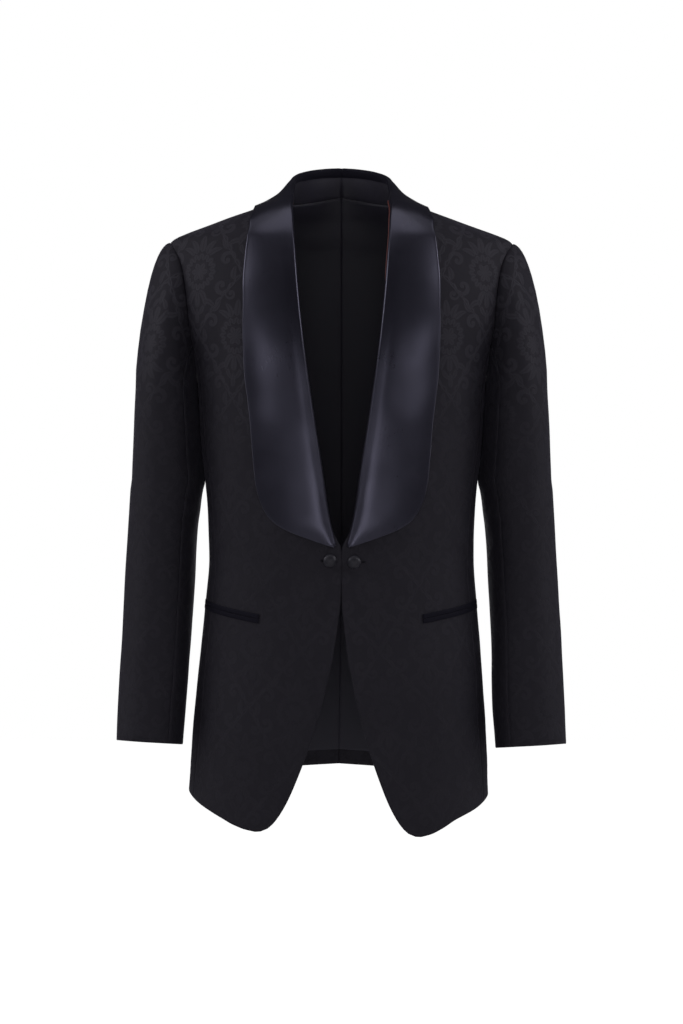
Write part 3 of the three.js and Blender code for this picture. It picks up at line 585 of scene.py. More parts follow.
def shell(name, points, out, thickness, cut, finishes, allowance=None):
    """A closed wall of cloth on a grid of outside points, with its pattern as a UV map.

    allowance gives the places of the inner wall's first row, where it runs under its neighbour.
    """
    high, wide = points.shape[:2]
    face = points.copy()
    back = points - out * thickness
    rim = np.ones((high, wide), bool)
    rim[1:-1, 1:-1] = False
    sink = EDGE_SINK * thickness
    face[rim] -= out[rim] * sink
    back[rim] += out[rim] * sink
    if allowance is not None:
        back[0] = allowance
    number = np.arange(high * wide).reshape(high, wide)
    inner = number + high * wide
    quads = [grid_quads(number)]
    quads.append(quads[0][:, ::-1] + high * wide)
    strips = (
        (number[:, 0], inner[:, 0]), (number[::-1, -1], inner[::-1, -1]),
        (number[0, ::-1], inner[0, ::-1]), (number[-1], inner[-1]),
    )
    for outer_row, inner_row in strips:
        quads.append(np.stack([outer_row[:-1], outer_row[1:], inner_row[1:], inner_row[:-1]], -1))
    counts = [len(part) for part in quads]
    faces = np.concatenate(quads)
    places = np.concatenate([face.reshape(-1, 3), back.reshape(-1, 3)]) * MM
    a, b, c, d = (places[faces[:, k]] for k in range(4))
    if (a * np.cross(b - a, c - a)).sum() + (a * np.cross(c - a, d - a)).sum() < 0:
        faces = faces[:, ::-1]
    mesh = bpy.data.meshes.new(name)
    mesh.from_pydata(places.tolist(), [], faces.tolist())
    layer = mesh.uv_layers.new(name="pattern")
    pattern = np.concatenate([cut.reshape(-1, 2)] * 2)
    layer.data.foreach_set("uv", pattern[faces.reshape(-1)].reshape(-1))
    for finish in finishes:
        mesh.materials.append(bpy.data.materials[finish])
    inside = np.zeros(len(faces), int)
    inside[counts[0]:counts[0] + counts[1]] = len(finishes) - 1
    mesh.polygons.foreach_set("material_index", inside)
    mesh.polygons.foreach_set("use_smooth", np.ones(len(faces), bool))
    mesh.update()
    piece = bpy.data.objects.new(name, mesh)
    bpy.context.scene.collection.objects.link(piece)
    return piece


def cut_size(points, cut):
    """Width and length of the smallest rectangle that a piece is cut from, and its area, in metres."""
    rising = points[1:, 1:] - points[:-1, :-1]
    falling = points[1:, :-1] - points[:-1, 1:]
    area = float(np.linalg.norm(np.cross(rising, falling), axis=-1).sum()) / 2 * MM * MM
    sizes = []
    for turn in np.radians(np.arange(-45.0, 45.0, 1.0)):
        across = cut[..., 0] * math.cos(turn) + cut[..., 1] * math.sin(turn)
        up = cut[..., 1] * math.cos(turn) - cut[..., 0] * math.sin(turn)
        sizes.append((float(np.ptp(across)), float(np.ptp(up))))
    width, length = min(sizes, key=math.prod)
    return width, length, min(area, width * length)


def belongs(piece, node):
    """Ties a piece to the body and hides the solid it stands for."""
    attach(piece, BODY_NAME)
    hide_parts(node)


def sheet(piece, node, points, cut):
    """Ties a piece of cloth to the body, hides its solid and works out the size of its cut, which is
    not kept.
    """
    belongs(piece, node)
    width, length, area = cut_size(points, cut)


# Sleeves
HEAD_STEPS = np.array(
    [0, 0.02, 0.05, 0.085, 0.12, 0.17, 0.22, 0.29, 0.36, 0.45, 0.55, 0.66, 0.77, 0.88, 1]
)
TOP_COLUMNS = 46
UNDER_COLUMNS = 24
ARM_STEP = 6.5
ALLOWANCE = 3.0  # how far the sleeve's seam allowance runs in under the body
ALLOWANCE_UNDER = 0.6  # and how deep below the body's cloth


def arm_point(side, turn, height, drop):
    """A point of the sleeve below the armpit."""
    share = np.clip((height - ARMPIT_Z) / (CUFF_Z - ARMPIT_Z), 0, 1)
    inner, outer, front, back, tip = (
        arm_read[column](height) for column in ("inner", "outer", "front", "back", "tip")
    )
    inner = inner - WIDER_CUFF * (side == LEFT) * smooth((WIDER_FROM - height) / WIDER_OVER)
    soft = lambda value: np.sign(value) * np.abs(value) ** (2 / ARM_ROUND)
    x = (inner + outer) / 2 + (outer - inner) / 2 * soft(cosine(turn))
    y = (front + back) / 2 - (back - front) / 2 * soft(sine(turn))
    z = height - drop * share + tip * cosine(turn) + CUFF_FRONT_RISE * sine(turn) * share**3
    return np.stack([side * x, y - NAPE_Y, z + 0 * x], -1)


def sleeve_relief(side, points, drop):
    strength = STRENGTH[side] * bpy.context.scene.jacket_cloth.fold_depth
    place = lambda turn, z: arm_point(side, turn, z + DRIFT[side], drop)
    return relief(points, SLEEVE_FOLDS, place, strength)


def head_point(side, turn, t):
    """A point of the sleeve head, t of the way from the armhole to the arm."""
    middle = (SHOULDER_Z + ARMHOLE_BOTTOM) / 2
    widest = np.where(sine(turn) > 0, ARMHOLE_FRONT, ARMHOLE_BACK)
    angle = 90 - sine(turn) * widest
    z = middle + (SHOULDER_Z - middle) * cosine(turn)
    out = body_normal(side, angle, z)
    start = body_point(side, angle, z)
    start = start + out * (LAY_GAP / 2 + body_relief(side, start))[..., None]
    end = arm_point(side, turn, ARMPIT_Z, 0.0)
    reach = np.linalg.norm(end - start, axis=-1, keepdims=True)
    drop = np.where(cosine(turn) > 0, CAP_DROP, UNDER_DROP) * np.abs(cosine(turn))
    leave = unit(out - np.stack([0 * drop, 0 * drop, drop], -1)) * CAP_FULL * reach
    arrive = np.array([0, 0, -ARM_FULL]) * reach
    return (
        start * (1 + 2 * t) * (1 - t) ** 2 + leave * t * (1 - t) ** 2
        + end * t * t * (3 - 2 * t) + arrive * t * t * (t - 1)
    )


def sleeve_grid(side, drop, turns):
    """The sleeve between two turns round it, from the armhole to the cuff."""
    arm = heights(ARMPIT_Z, CUFF_Z, ARM_STEP)[1:] + [CUFF_Z + 1.0, CUFF_Z]
    beside = 0.5
    rings = []
    for all_turns in (turns - beside, turns, turns + beside):
        head = np.array([head_point(side, all_turns, t) for t in HEAD_STEPS])
        below = np.array([arm_point(side, all_turns, z, drop) for z in arm])
        rings.append(np.concatenate([head, below]))
    points = rings[1]
    out = unit(np.cross(rings[2] - rings[0], np.gradient(points, axis=0)) * side)
    fade = smooth(np.concatenate([HEAD_STEPS, np.ones(len(arm))]) / HEAD_STEPS[-1])[:, None]
    points = lapped(points + out * (sleeve_relief(side, points, drop) * fade)[..., None])
    widest = np.where(sine(turns) > 0, ARMHOLE_FRONT, ARMHOLE_BACK)
    middle = (SHOULDER_Z + ARMHOLE_BOTTOM) / 2
    z = middle + (SHOULDER_Z - middle) * cosine(turns)
    under = body_normal(side, 90 - sine(turns) * widest, z) * (CLOTH + ALLOWANCE_UNDER)
    allowance = points[0] - under - unit(points[1] - points[0]) * ALLOWANCE
    return points, out, allowance


# The shawl collar
SANDWICH = CLOTH + 2 * LAY_GAP + 2 * COLLAR_CLOTH
ROLL = SANDWICH / 2
FACING_INSIDE = 10.0
LEAST_TURNED = 0.6
BELLY = 1.6  # the fall stands this far off in its middle
FULL_WIDTH = 60.0  # where the fall is at least this wide
NECK_CLEAR = 1.0  # and its edge this far off round the neck
SECTION_STEPS = 5  # sections between two rows of the tables
COLLAR_BAND = 12.0  # the collar's inside is satin for this far down, then lined
COLLAR_BAND_SHARE = 0.6
LINED_FROM = 16.0  # sections with at least this much inside have lining on it
# Where the points of the lined part and of the band lie, as shares of each.
LINED_SHARES = np.array([1, 0.7, 0.4, 0.06, 0])
BAND_SHARES = np.array([0.9, 0.45, 0])
SEAM_GROOVE = 0.45  # depth of the seam between them
LINED_IN = 0.5  # the lined part's foot lies this much further in, over the lining of the back
ROLL_TURNS = np.linspace(-66, 66, 9)
FALL_SHARES = np.concatenate([np.linspace(0, 0.95, 27), [0.975, 0.99, 1.0]])
# The soft roll beside the roll line, by the height of that line: how high it stands and how wide it is.
SOFT_ROLL = table(
    "z high wide",
    (-461, 0.5, 8), (-447, 0.9, 10), (-420, 1.3, 13), (-370, 1.5, 15), (-300, 1.3, 16), (-220, 1.0, 15),
    (-150, 0.8, 14), (-60, 0.6, 12), (31, 0.4, 10),
)
BEAD = 0.22  # the turned edge stands this much higher
BEAD_SHARE = 0.012
DULL_EDGE_Z = -340.0  # above this the turned edge is matt


def collar_sections():
    """Roll and outer edge of each section by angle and height, from the break to the nape."""
    roll = np.concatenate([angle_at(LAPEL["roll_x"], LAPEL["roll_z"]), COLLAR["roll"]])
    edge = np.concatenate([angle_at(LAPEL["edge_x"], LAPEL["edge_z"]), COLLAR["edge"]])
    rows = {
        "k": np.arange(len(roll), dtype=float),
        "roll": roll,
        "roll_z": np.concatenate([LAPEL["roll_z"], COLLAR["roll_z"]]),
        "edge": edge,
        "edge_z": np.concatenate([LAPEL["edge_z"], COLLAR["edge_z"]]),
        "inside": np.concatenate([np.full(len(LAPEL["roll_z"]), FACING_INSIDE), COLLAR["inside"]]),
        "round": np.concatenate([np.zeros(len(LAPEL["roll_z"])), np.ones(len(COLLAR["roll"]))]),
    }
    k = np.linspace(0, len(roll) - 1, (len(roll) - 1) * SECTION_STEPS + 1)
    read = {name: curve(rows, "k", name)(k) for name in rows}
    return [{name: float(values[i]) for name, values in read.items()} for i in range(len(k))]


def section_point(side, section, along, lift):
    """Points along a section, by the length from the roll line and the height over the cloth."""
    share = along / section["length"]
    angle = section["roll"] + (section["edge"] - section["roll"]) * share
    z = section["roll_z"] + (section["edge_z"] - section["roll_z"]) * share
    return on_body(side, angle, z, lift)[0]


def measured(side, section):
    share = np.linspace(0, 1, 13)
    line = body_point(
        side, section["roll"] + (section["edge"] - section["roll"]) * share,
        section["roll_z"] + (section["edge_z"] - section["roll_z"]) * share,
    )
    section["length"] = float(np.linalg.norm(np.diff(line, axis=0), axis=1).sum())
    return section


roll_high, roll_wide = curve(SOFT_ROLL, "z", "high"), curve(SOFT_ROLL, "z", "wide")


def collar_section(side, section):
    length = section["length"]
    inside = section["inside"]
    if section["round"] < 0.5:
        inside = min(inside, length)
    inside = max(inside, ROLL + LEAST_TURNED)
    middle = -CLOTH / 2
    band = min(COLLAR_BAND, ROLL + (inside - ROLL) * COLLAR_BAND_SHARE)
    stand = np.concatenate([band + (inside - band) * LINED_SHARES, ROLL + (band - ROLL) * BAND_SHARES])
    foot = LINED_IN * section["round"] * np.clip((stand - band) / (inside - band), 0, 1)
    groove = np.where(np.arange(len(stand)) == len(LINED_SHARES) - 1, SEAM_GROOVE, 0.0)
    fall = ROLL + (length - ROLL) * FALL_SHARES
    full = min(1.0, length / FULL_WIDTH)
    belly = BELLY * 4 * FALL_SHARES * (1 - FALL_SHARES) * full
    full_wide = roll_wide(section["roll_z"])
    wide = full_wide * min(1.0, length / (4 * full_wide) + 0.15)
    away = (fall - ROLL) / wide
    soft = roll_high(section["roll_z"]) * (away * np.exp(1 - away)) ** 2 * full**0.5
    bead = BEAD * np.exp(-(((FALL_SHARES - 1 + BEAD_SHARE) / BEAD_SHARE) ** 2)) * full
    clear = NECK_CLEAR * section["round"] * FALL_SHARES
    along = np.concatenate([stand, ROLL - ROLL * cosine(ROLL_TURNS), fall])
    lift = np.concatenate([
        middle - ROLL + groove - foot, middle + ROLL * sine(ROLL_TURNS),
        middle + ROLL + belly + soft + bead + clear,
    ])
    return section_point(side, section, along, lift)


def collar_grid(side):
    sections = [measured(side, section) for section in collar_sections()]
    points = np.array([collar_section(side, section) for section in sections])
    out = grid_normals(points, side)
    out[-1, :, 0] = 0
    return lapped(points), unit(out)


# Pockets, fastening and piping
POCKET = table("angle z", (45.8, -552), (60, -545.5), (72, -540), (83, -536))
JET_HIGH = 5.5
JET_THICK = 0.9
JET_CROWN = 0.12
JET_GAP = 0.5  # between a jet and the front
JET_SLIT = 0.3  # between the two jets
BUTTON_AT = {LEFT: (15.6, -481.6), RIGHT: (14.0, -480.0)}  # out from the centre line, and height
BUTTON_RADIUS = 8.2
BUTTON_EDGE = 2.0  # height of the rim
BUTTON_DOME = 4.7  # and of the dome over it
BUTTON_OFF = 0.5  # between a button and the front
BUTTON_CUT = 0.45  # the ball is cut off at this share of its radius below the middle
BUTTON_TAPER = 0.05  # the rim narrows by this share to its foot
BUTTON_ROUND = 0.6
HOLE_NEAR = 3.0  # from the button's middle to the end of the hole at the edge of the front
HOLE_FAR = {LEFT: 14.0, RIGHT: 11.5}  # and to its other end
HOLE_HIGH = 1.7
HOLE_DEEP = 24.0
HOLE_ROUND = 0.4
PIPING_RADIUS = 0.9
PIPING_GAP = 0.35
PIPING_SIDES = 10
# Where the piping lies round the roll: at 0 it stands out past the roll line, at 90 it lies behind it.
PIPING_TURN = table(
    "z left right",
    (-461, 96, 100), (-150, 90, 100), (-121, 52, 100), (-36, 48, 100), (-14, 60, 100),
)
pocket_z = curve(POCKET, "angle", "z")


def jet_grid(side, way):
    """One jet: the upper one lies above the slit (way 1), the lower one below it (way -1)."""
    share = np.linspace(0, 1, 9)
    angle = np.linspace(POCKET["angle"][0], POCKET["angle"][-1], 61)
    off = way * (JET_SLIT / 2 + JET_HIGH * share)
    z = pocket_z(angle)[None] + off[:, None]
    lift = JET_GAP + JET_THICK + JET_CROWN * 4 * share * (1 - share)
    angle, lift = np.broadcast_to(angle, z.shape), np.broadcast_to(lift[:, None], z.shape)
    points, out = on_body(side, angle, z, lift)
    if way < 0:
        points, out = points[::-1], out[::-1]
    return points, out


def button_place(side):
    x, z = BUTTON_AT[side]
    at, out = on_body(side, np.array([angle_at(x, z)]), np.array([z]), np.zeros(1))
    return at[0], out[0]


def tube(centres, radius, sides):
    """A closed cord along its centres, as points and faces."""
    along = unit(np.gradient(centres, axis=0))
    across = unit(np.cross(np.array([0.0, 1.0, 0.0]), along))
    up = np.cross(along, across)
    turn = np.linspace(0, 2 * np.pi, sides, endpoint=False)
    rings = centres[:, None] + radius * (
        across[:, None] * np.cos(turn)[None, :, None] + up[:, None] * np.sin(turn)[None, :, None]
    )
    count = len(centres)
    number = np.arange(count * sides).reshape(count, sides)
    after = np.roll(number, -1, axis=1)
    quads = np.stack([number[:-1], after[:-1], after[1:], number[1:]], -1).reshape(-1, 4).tolist()
    return rings.reshape(-1, 3), quads + [number[0, ::-1].tolist(), number[-1].tolist()]


# Finishes
CLOTH_FINISH = "midnight_jacquard"
SATIN_FINISH = "midnight_satin"
FAILLE_FINISH = "midnight_faille"  # the duller satin of the buttons
JET_FINISH = "midnight_jet"  # the matt satin of the jets and inside the neck
LINING_FINISH = "lining_twill"
CORD_FINISH = "coral_cord"
THREAD_FINISH = "link_silk"


class Wire:
    """A value in a node tree that plain arithmetic carries on with Math nodes."""

    def __init__(self, tree, socket):
        self.tree, self.socket = tree, socket

    def math(self, operation, *others, clamp=False):
        node = self.tree.nodes.new("ShaderNodeMath")
        node.operation, node.use_clamp = operation, clamp
        for slot, value in zip(node.inputs, (self, *others)):
            if isinstance(value, Wire):
                self.tree.links.new(value.socket, slot)
            else:
                slot.default_value = value
        return Wire(self.tree, node.outputs[0])

    def __add__(self, other):
        return self.math("ADD", other)

    def __sub__(self, other):
        return self.math("SUBTRACT", other)

    def __mul__(self, other):
        return self.math("MULTIPLY", other)

    def __truediv__(self, other):
        return self.math("DIVIDE", other)

    def squared(self):
        return self.math("MULTIPLY", self)

    def band(self, low, high):
        """0 below low and 1 above high, with a soft step between."""
        node = self.tree.nodes.new("ShaderNodeMapRange")
        node.interpolation_type = "SMOOTHSTEP"
        self.tree.links.new(self.socket, node.inputs["Value"])
        node.inputs["From Min"].default_value, node.inputs["From Max"].default_value = low, high
        return Wire(self.tree, node.outputs[0])

    def line(self, at, half, soft):
        """1 within half of a value, with soft edges."""
        return (self - at).math("ABSOLUTE").band(half + soft, half)


def group(name, inputs, outputs):
    """An empty node group with named sockets, and its input and output nodes."""
    tree = bpy.data.node_groups.new(name, "ShaderNodeTree")
    for label, kind, value in inputs:
        socket = tree.interface.new_socket(label, in_out="INPUT", socket_type="NodeSocket" + kind)
        if value is not None:
            socket.default_value = value
    for label, kind in outputs:
        tree.interface.new_socket(label, in_out="OUTPUT", socket_type="NodeSocket" + kind)
    return tree, tree.nodes.new("NodeGroupInput"), tree.nodes.new("NodeGroupOutput")


def parts(tree, vector):
    """The three parts of a place."""
    node = tree.nodes.new("ShaderNodeSeparateXYZ")
    tree.links.new(vector, node.inputs[0])
    return [Wire(tree, socket) for socket in node.outputs]


MOTIF_WIDTH, MOTIF_HEIGHT = 92.0, 120.0  # size of the repeat that the figure is drawn in


def polar(dx, dy):
    """How far off a place is, and the way to it."""
    return (dx.squared() + dy.squared()).math("SQRT"), dy.math("ARCTAN2", dx)


def most(values):
    """The largest of several values."""
    total = values[0]
    for value in values[1:]:
        total = total.math("MAXIMUM", value)
    return total


def motif_group():
    """One ogee of the jacquard, mirrored about its middle: a rosette, scrolls, palmettes and leaves."""
    tree, given, made = group(
        "motif", (("X", "Float", 0.0), ("Y", "Float", 0.0)),
        (("Figure", "Float"), ("Outline", "Float"), ("Vein", "Float")),
    )
    ax = Wire(tree, given.outputs["X"]).math("ABSOLUTE")
    y = Wire(tree, given.outputs["Y"])
    ay = y.math("ABSOLUTE")
    figure, outline, vein = [], [], []

    # rosette in a scalloped ring
    radius, turn = polar(ax, y)
    inner = radius - (turn * 6.0 + 1.57).math("SINE") * 1.3
    figure.append(inner.band(8.6, 7.4))
    outline.append(inner.line(9.4, 0.35, 0.5))
    vein.append((turn * 12.0).math("COSINE").band(0.4, 0.9) * radius.line(5.4, 2.0, 0.9))
    ring = radius - (turn * 16.0).math("COSINE") * 0.9
    figure.append(ring.line(14.4, 2.2, 0.6))
    outline.append(ring.line(17.6, 0.4, 0.5))
    vein.append((turn * 32.0).math("COSINE").band(0.3, 0.8) * radius.line(14.4, 1.4, 0.8))

    # scrolls beside it, above and below
    for centre_x, centre_y, size, tight, way in (
        (28.0, 12.5, 9.0, 0.62, 1.0), (27.0, -13.0, 9.5, 0.6, -1.0), (9.0, 40.0, 6.5, 0.75, -1.0),
    ):
        radius, turn = polar(ax - centre_x, (y - centre_y) * way)
        arm = (turn / (2 * math.pi) + (radius + 0.6).math("LOGARITHM", math.e) * tight).math("FRACT")
        within = radius.band(size, size - 1.2) * radius.band(1.2, 2.0)
        figure.append(arm.line(0.5, 0.17, 0.07) * within)
        outline.append(arm.line(0.27, 0.03, 0.05) * within)
        outline.append(arm.line(0.73, 0.03, 0.05) * within)
        figure.append(radius.band(2.2, 1.4))

    # leaves and palmettes
    for centre_x, centre_y, lean, long, wide in (
        (0.0, 27.0, 1.57, 8.0, 3.4), (7.5, 24.5, 1.05, 7.5, 2.9), (13.5, 21.0, 0.5, 7.0, 2.6),
        (0.0, -26.0, 1.57, 7.5, 3.2), (8.0, -24.0, -1.1, 8.5, 3.0), (15.5, -29.0, -0.45, 7.0, 2.6),
        (36.5, 0.0, 1.57, 6.5, 2.8), (0.0, -42.0, 1.57, 7.0, 2.6), (5.5, -37.0, -2.2, 5.5, 2.2),
        (22.0, 27.5, 2.2, 6.5, 2.4),
    ):
        dx, dy = ax - centre_x, y - centre_y
        along = dx * math.cos(lean) + dy * math.sin(lean)
        off = dy * math.cos(lean) - dx * math.sin(lean) + along.squared() * (0.03 if centre_x else 0.0)
        taper = ((along / long) * 0.55 + 1.0).math("MAXIMUM", 0.3)
        bulge = (along / long).squared() + (off / wide).squared() * taper
        figure.append(bulge.band(1.05, 0.85))
        outline.append(bulge.line(1.22, 0.08, 0.14))
        vein.append(off.math("ABSOLUTE").band(0.7, 0.25) * bulge.band(0.8, 0.6))

    # vine round the ogee
    bound = ax / (MOTIF_WIDTH / 2) + ay / (MOTIF_HEIGHT / 2)
    sway = (y * 0.42).math("SINE") * 0.03 + (ax * 0.55).math("COSINE") * 0.02
    figure.append((bound + sway).line(1.0, 0.016, 0.014))
    outline.append((bound - sway).line(0.955, 0.007, 0.01))

    for label, values in (("Figure", figure), ("Outline", outline), ("Vein", vein)):
        tree.links.new(most(values).socket, made.inputs[label])


def damask_group():
    """Figure of the jacquard, on a half drop repeat."""
    tree, given, made = group(
        "damask", (("Place", "Vector", None), ("Width", "Float", 118.0)),
        (("Figure", "Float"), ("Outline", "Float"), ("Vein", "Float")),
    )
    u, v, _ = parts(tree, given.outputs["Place"])
    metres = 1000.0
    size = Wire(tree, given.outputs["Width"])
    across, up = u * metres / size, v * metres / size * (MOTIF_WIDTH / MOTIF_HEIGHT)
    found = []
    for shift in (0.0, 0.5):
        node = tree.nodes.new("ShaderNodeGroup")
        node.node_tree = bpy.data.node_groups["motif"]
        x = ((across + shift).math("FRACT") - 0.5) * MOTIF_WIDTH
        y = ((up + shift).math("FRACT") - 0.5) * MOTIF_HEIGHT
        tree.links.new(x.socket, node.inputs["X"])
        tree.links.new(y.socket, node.inputs["Y"])
        found.append(node)
    for label in ("Figure", "Outline", "Vein"):
        total = most([Wire(tree, node.outputs[label]) for node in found])
        tree.links.new(total.socket, made.inputs[label])


def weave_group():
    """Threads: fine ribs across each other and slow changes of tone along them."""
    tree, given, made = group(
        "weave",
        (("Place", "Vector", None), ("Pitch", "Float", 0.8), ("Slub", "Float", 0.5)),
        (("Height", "Float"), ("Tone", "Float")),
    )
    u, v, _ = parts(tree, given.outputs["Place"])
    pitch = Wire(tree, given.outputs["Pitch"])
    turns = 2 * math.pi * 1000.0
    warp = (u * turns / pitch).math("SINE")
    weft = (v * turns / pitch).math("SINE")
    slub = tree.nodes.new("ShaderNodeTexNoise")
    slub.inputs["Scale"].default_value = 420.0
    slub.inputs["Detail"].default_value = 3.0
    stretch = tree.nodes.new("ShaderNodeMapping")
    stretch.inputs["Scale"].default_value = (1.0, 0.22, 1.0)
    tree.links.new(given.outputs["Place"], stretch.inputs["Vector"])
    tree.links.new(stretch.outputs[0], slub.inputs["Vector"])
    noisy = Wire(tree, slub.outputs[0])
    height = warp * weft * 0.5 + noisy * Wire(tree, given.outputs["Slub"])
    tree.links.new(height.socket, made.inputs["Height"])
    tree.links.new(noisy.socket, made.inputs["Tone"])


def drift_group():
    """Slow unevenness of a finish over the garment, from 0 to 1."""
    tree, given, made = group("drift", (("Scale", "Float", 9.0),), (("Tone", "Float"),))
    place = tree.nodes.new("ShaderNodeTexCoord")
    cloud = tree.nodes.new("ShaderNodeTexNoise")
    cloud.inputs["Detail"].default_value = 2.0
    tree.links.new(place.outputs["Object"], cloud.inputs["Vector"])
    tree.links.new(given.outputs["Scale"], cloud.inputs["Scale"])
    tree.links.new(cloud.outputs[0], made.inputs["Tone"])


class Finish:
    """A material with its shader, and short ways to feed it."""

    def __init__(self, name, **constants):
        self.material = bpy.data.materials.new(name)
        self.material.use_nodes = True
        self.tree = self.material.node_tree
        self.shader = self.tree.nodes["Principled BSDF"]
        for label, value in constants.items():
            self.shader.inputs[label.replace("_", " ")].default_value = value

    def group(self, name, place=None, **values):
        node = self.tree.nodes.new("ShaderNodeGroup")
        node.node_tree = bpy.data.node_groups[name]
        if place is not None:
            self.tree.links.new(place, node.inputs["Place"])
        for label, value in values.items():
            node.inputs[label.replace("_", " ")].default_value = value
        return {socket.name: Wire(self.tree, socket) for socket in node.outputs}

    def pattern(self):
        node = self.tree.nodes.new("ShaderNodeUVMap")
        node.uv_map = "pattern"
        return node.outputs[0]

    def place(self):
        return self.tree.nodes.new("ShaderNodeTexCoord").outputs["Object"]

    def colour(self, share, low, high):
        """A colour between two, by a share."""
        node = self.tree.nodes.new("ShaderNodeMix")
        node.data_type = "RGBA"
        first, second = (socket for socket in node.inputs if socket.type == "RGBA")
        first.default_value, second.default_value = (*low, 1.0), (*high, 1.0)
        self.tree.links.new(share.socket, node.inputs[0])
        mixed = next(socket for socket in node.outputs if socket.type == "RGBA")
        self.tree.links.new(mixed, self.shader.inputs["Base Color"])

    def rough(self, value):
        self.tree.links.new(value.socket, self.shader.inputs["Roughness"])

    def bump(self, height, distance, strength=1.0):
        node = self.tree.nodes.new("ShaderNodeBump")
        node.inputs["Strength"].default_value = strength
        node.inputs["Distance"].default_value = distance
        self.tree.links.new(height.socket, node.inputs["Height"])
        self.tree.links.new(node.outputs[0], self.shader.inputs["Normal"])


LINING_DARK = (0.0225, 0.0203, 0.0312)
LINING_LIGHT = (0.0360, 0.0325, 0.0500)
PAINTED_SHEEN_HEIGHTS = (-0.36, -0.17)  # painted sheen: the figure shows more, painted lighter for the light the upper chest catches, from the first height up to the second, in metres
FIGURE_EVERYWHERE = 0.1  # how much of it shows all over
PAINTED_CHEST_SHEEN = 0.55  # how much more over the chest, as painted sheen for the light it catches there
FIGURE_UNEVEN = 0.14  # and how much more in patches


def make_finishes():
    """Every material, from the sizes and colours in the panel."""
    cloth, satin = bpy.context.scene.jacket_cloth, bpy.context.scene.jacket_satin
    motif_group()
    damask_group()
    weave_group()
    drift_group()

    jacquard = Finish(
        CLOTH_FINISH, Sheen_Weight=0.1, Sheen_Roughness=0.4, Sheen_Tint=(0.62, 0.58, 0.76, 1.0),
        Specular_IOR_Level=0.28, Specular_Tint=(0.95, 0.9, 1.0, 1.0),
    )
    place = jacquard.pattern()
    figure = jacquard.group("damask", place, Width=cloth.repeat_width / MM)
    weave = jacquard.group("weave", place, Pitch=0.8, Slub=0.6)
    wear = jacquard.group("drift", Scale=8.0)["Tone"]
    upright = parts(jacquard.tree, jacquard.place())[2]
    # painted sheen: by its height the figure is painted lighter over the upper chest, for the light it
    # catches there, plus patches at random
    painted_sheen_band = upright.band(*PAINTED_SHEEN_HEIGHTS)
    figure_shown_with_painted_sheen = wear.band(0.3, 0.72) * FIGURE_UNEVEN + painted_sheen_band * PAINTED_CHEST_SHEEN + FIGURE_EVERYWHERE
    share = (figure["Figure"] * 0.75 + figure["Outline"] * 0.2 - figure["Vein"] * 0.4) * figure_shown_with_painted_sheen
    share = share * cloth.figure_strength + weave["Tone"] * 0.2 + wear * 0.15
    jacquard.colour(share, cloth.ground, cloth.figure)
    jacquard.rough((figure["Figure"] * figure_shown_with_painted_sheen) * -0.05 + (weave["Tone"] * 0.1 + 0.63))
    height = figure["Figure"] * 0.6 + figure["Outline"] * 0.4 + weave["Height"] * 0.12
    jacquard.bump(height, 0.0003, 0.8)

    for name, specular, tint, dull, pitch, deep in (
        (SATIN_FINISH, 1.0, (0.76, 0.74, 1.0, 1.0), 0.0, 0.4, 0.000006),
        (FAILLE_FINISH, 0.55, (0.95, 0.93, 1.0, 1.0), 0.14, 0.9, 0.00004),
        (JET_FINISH, 0.1, (0.76, 0.74, 1.0, 1.0), 0.3, 0.9, 0.00004),
    ):
        gloss = Finish(
            name, Anisotropic=0.4, Specular_IOR_Level=specular, Specular_Tint=tint,
            Sheen_Weight=0.04, Sheen_Tint=(0.6, 0.58, 0.8, 1.0),
        )
        weave = gloss.group("weave", gloss.pattern(), Pitch=pitch, Slub=0.8)
        wear = gloss.group("drift", Scale=11.0)["Tone"]
        gloss.colour(weave["Tone"] * 0.5 + wear * 0.5, satin.shade, satin.light)
        gloss.rough(wear * 0.08 + (weave["Tone"] * 0.08 + (satin.roughness + dull - 0.08)))
        gloss.bump(weave["Height"], deep, 0.6)

    twill = Finish(LINING_FINISH, Specular_IOR_Level=0.4, Sheen_Weight=0.05)
    place = twill.pattern()
    u, v, _ = parts(twill.tree, place)
    ribs = ((u + v) * 5200.0).math("SINE") * 0.5 + 0.5
    weave = twill.group("weave", place, Pitch=0.6, Slub=0.5)
    wear = twill.group("drift", Scale=6.0)["Tone"]
    twill.colour(ribs * 0.35 + wear * 0.4 + weave["Tone"] * 0.25, LINING_DARK, LINING_LIGHT)
    twill.rough(weave["Tone"] * 0.15 + 0.5)
    twill.bump(ribs * 0.5 + weave["Height"] * 0.5, 0.00003, 0.5)

    for name, low, high, rough, turns in (
        (CORD_FINISH, (0.10, 0.016, 0.014), (0.22, 0.045, 0.035), 0.45, 3400.0),
        (THREAD_FINISH, (0.006, 0.006, 0.009), (0.016, 0.016, 0.022), 0.6, 5200.0),
    ):
        twist = Finish(name, Specular_IOR_Level=0.5, Sheen_Weight=0.1)
        x, y, z = parts(twist.tree, twist.place())
        turned = ((x + z + y) * turns).math("SINE") * 0.5 + 0.5
        wear = twist.group("drift", Scale=30.0)["Tone"]
        twist.colour(turned * 0.6 + wear * 0.4, low, high)
        twist.rough(wear * 0.2 + (rough - 0.1))
        twist.bump(turned, 0.0001, 0.6)


# Pieces
FRONT_SHARP = 50.0  # edges that turn by more degrees than this stay sharp
BUTTON_SHARP = 40.0
FRONT_COLUMNS = 40
SIDE_COLUMNS = 20
BACK_COLUMNS = 36
LINING_COLUMNS = 32


def panel_piece(name, side, levels, columns, rim, finishes):
    """A panel of the outer cloth."""
    points, out = panel(side, levels, columns, rim)
    cut = flat_pattern(points)
    piece = shell(name, points, out, CLOTH, cut, finishes)
    sheet(piece, name.lower(), points, cut)
    return piece


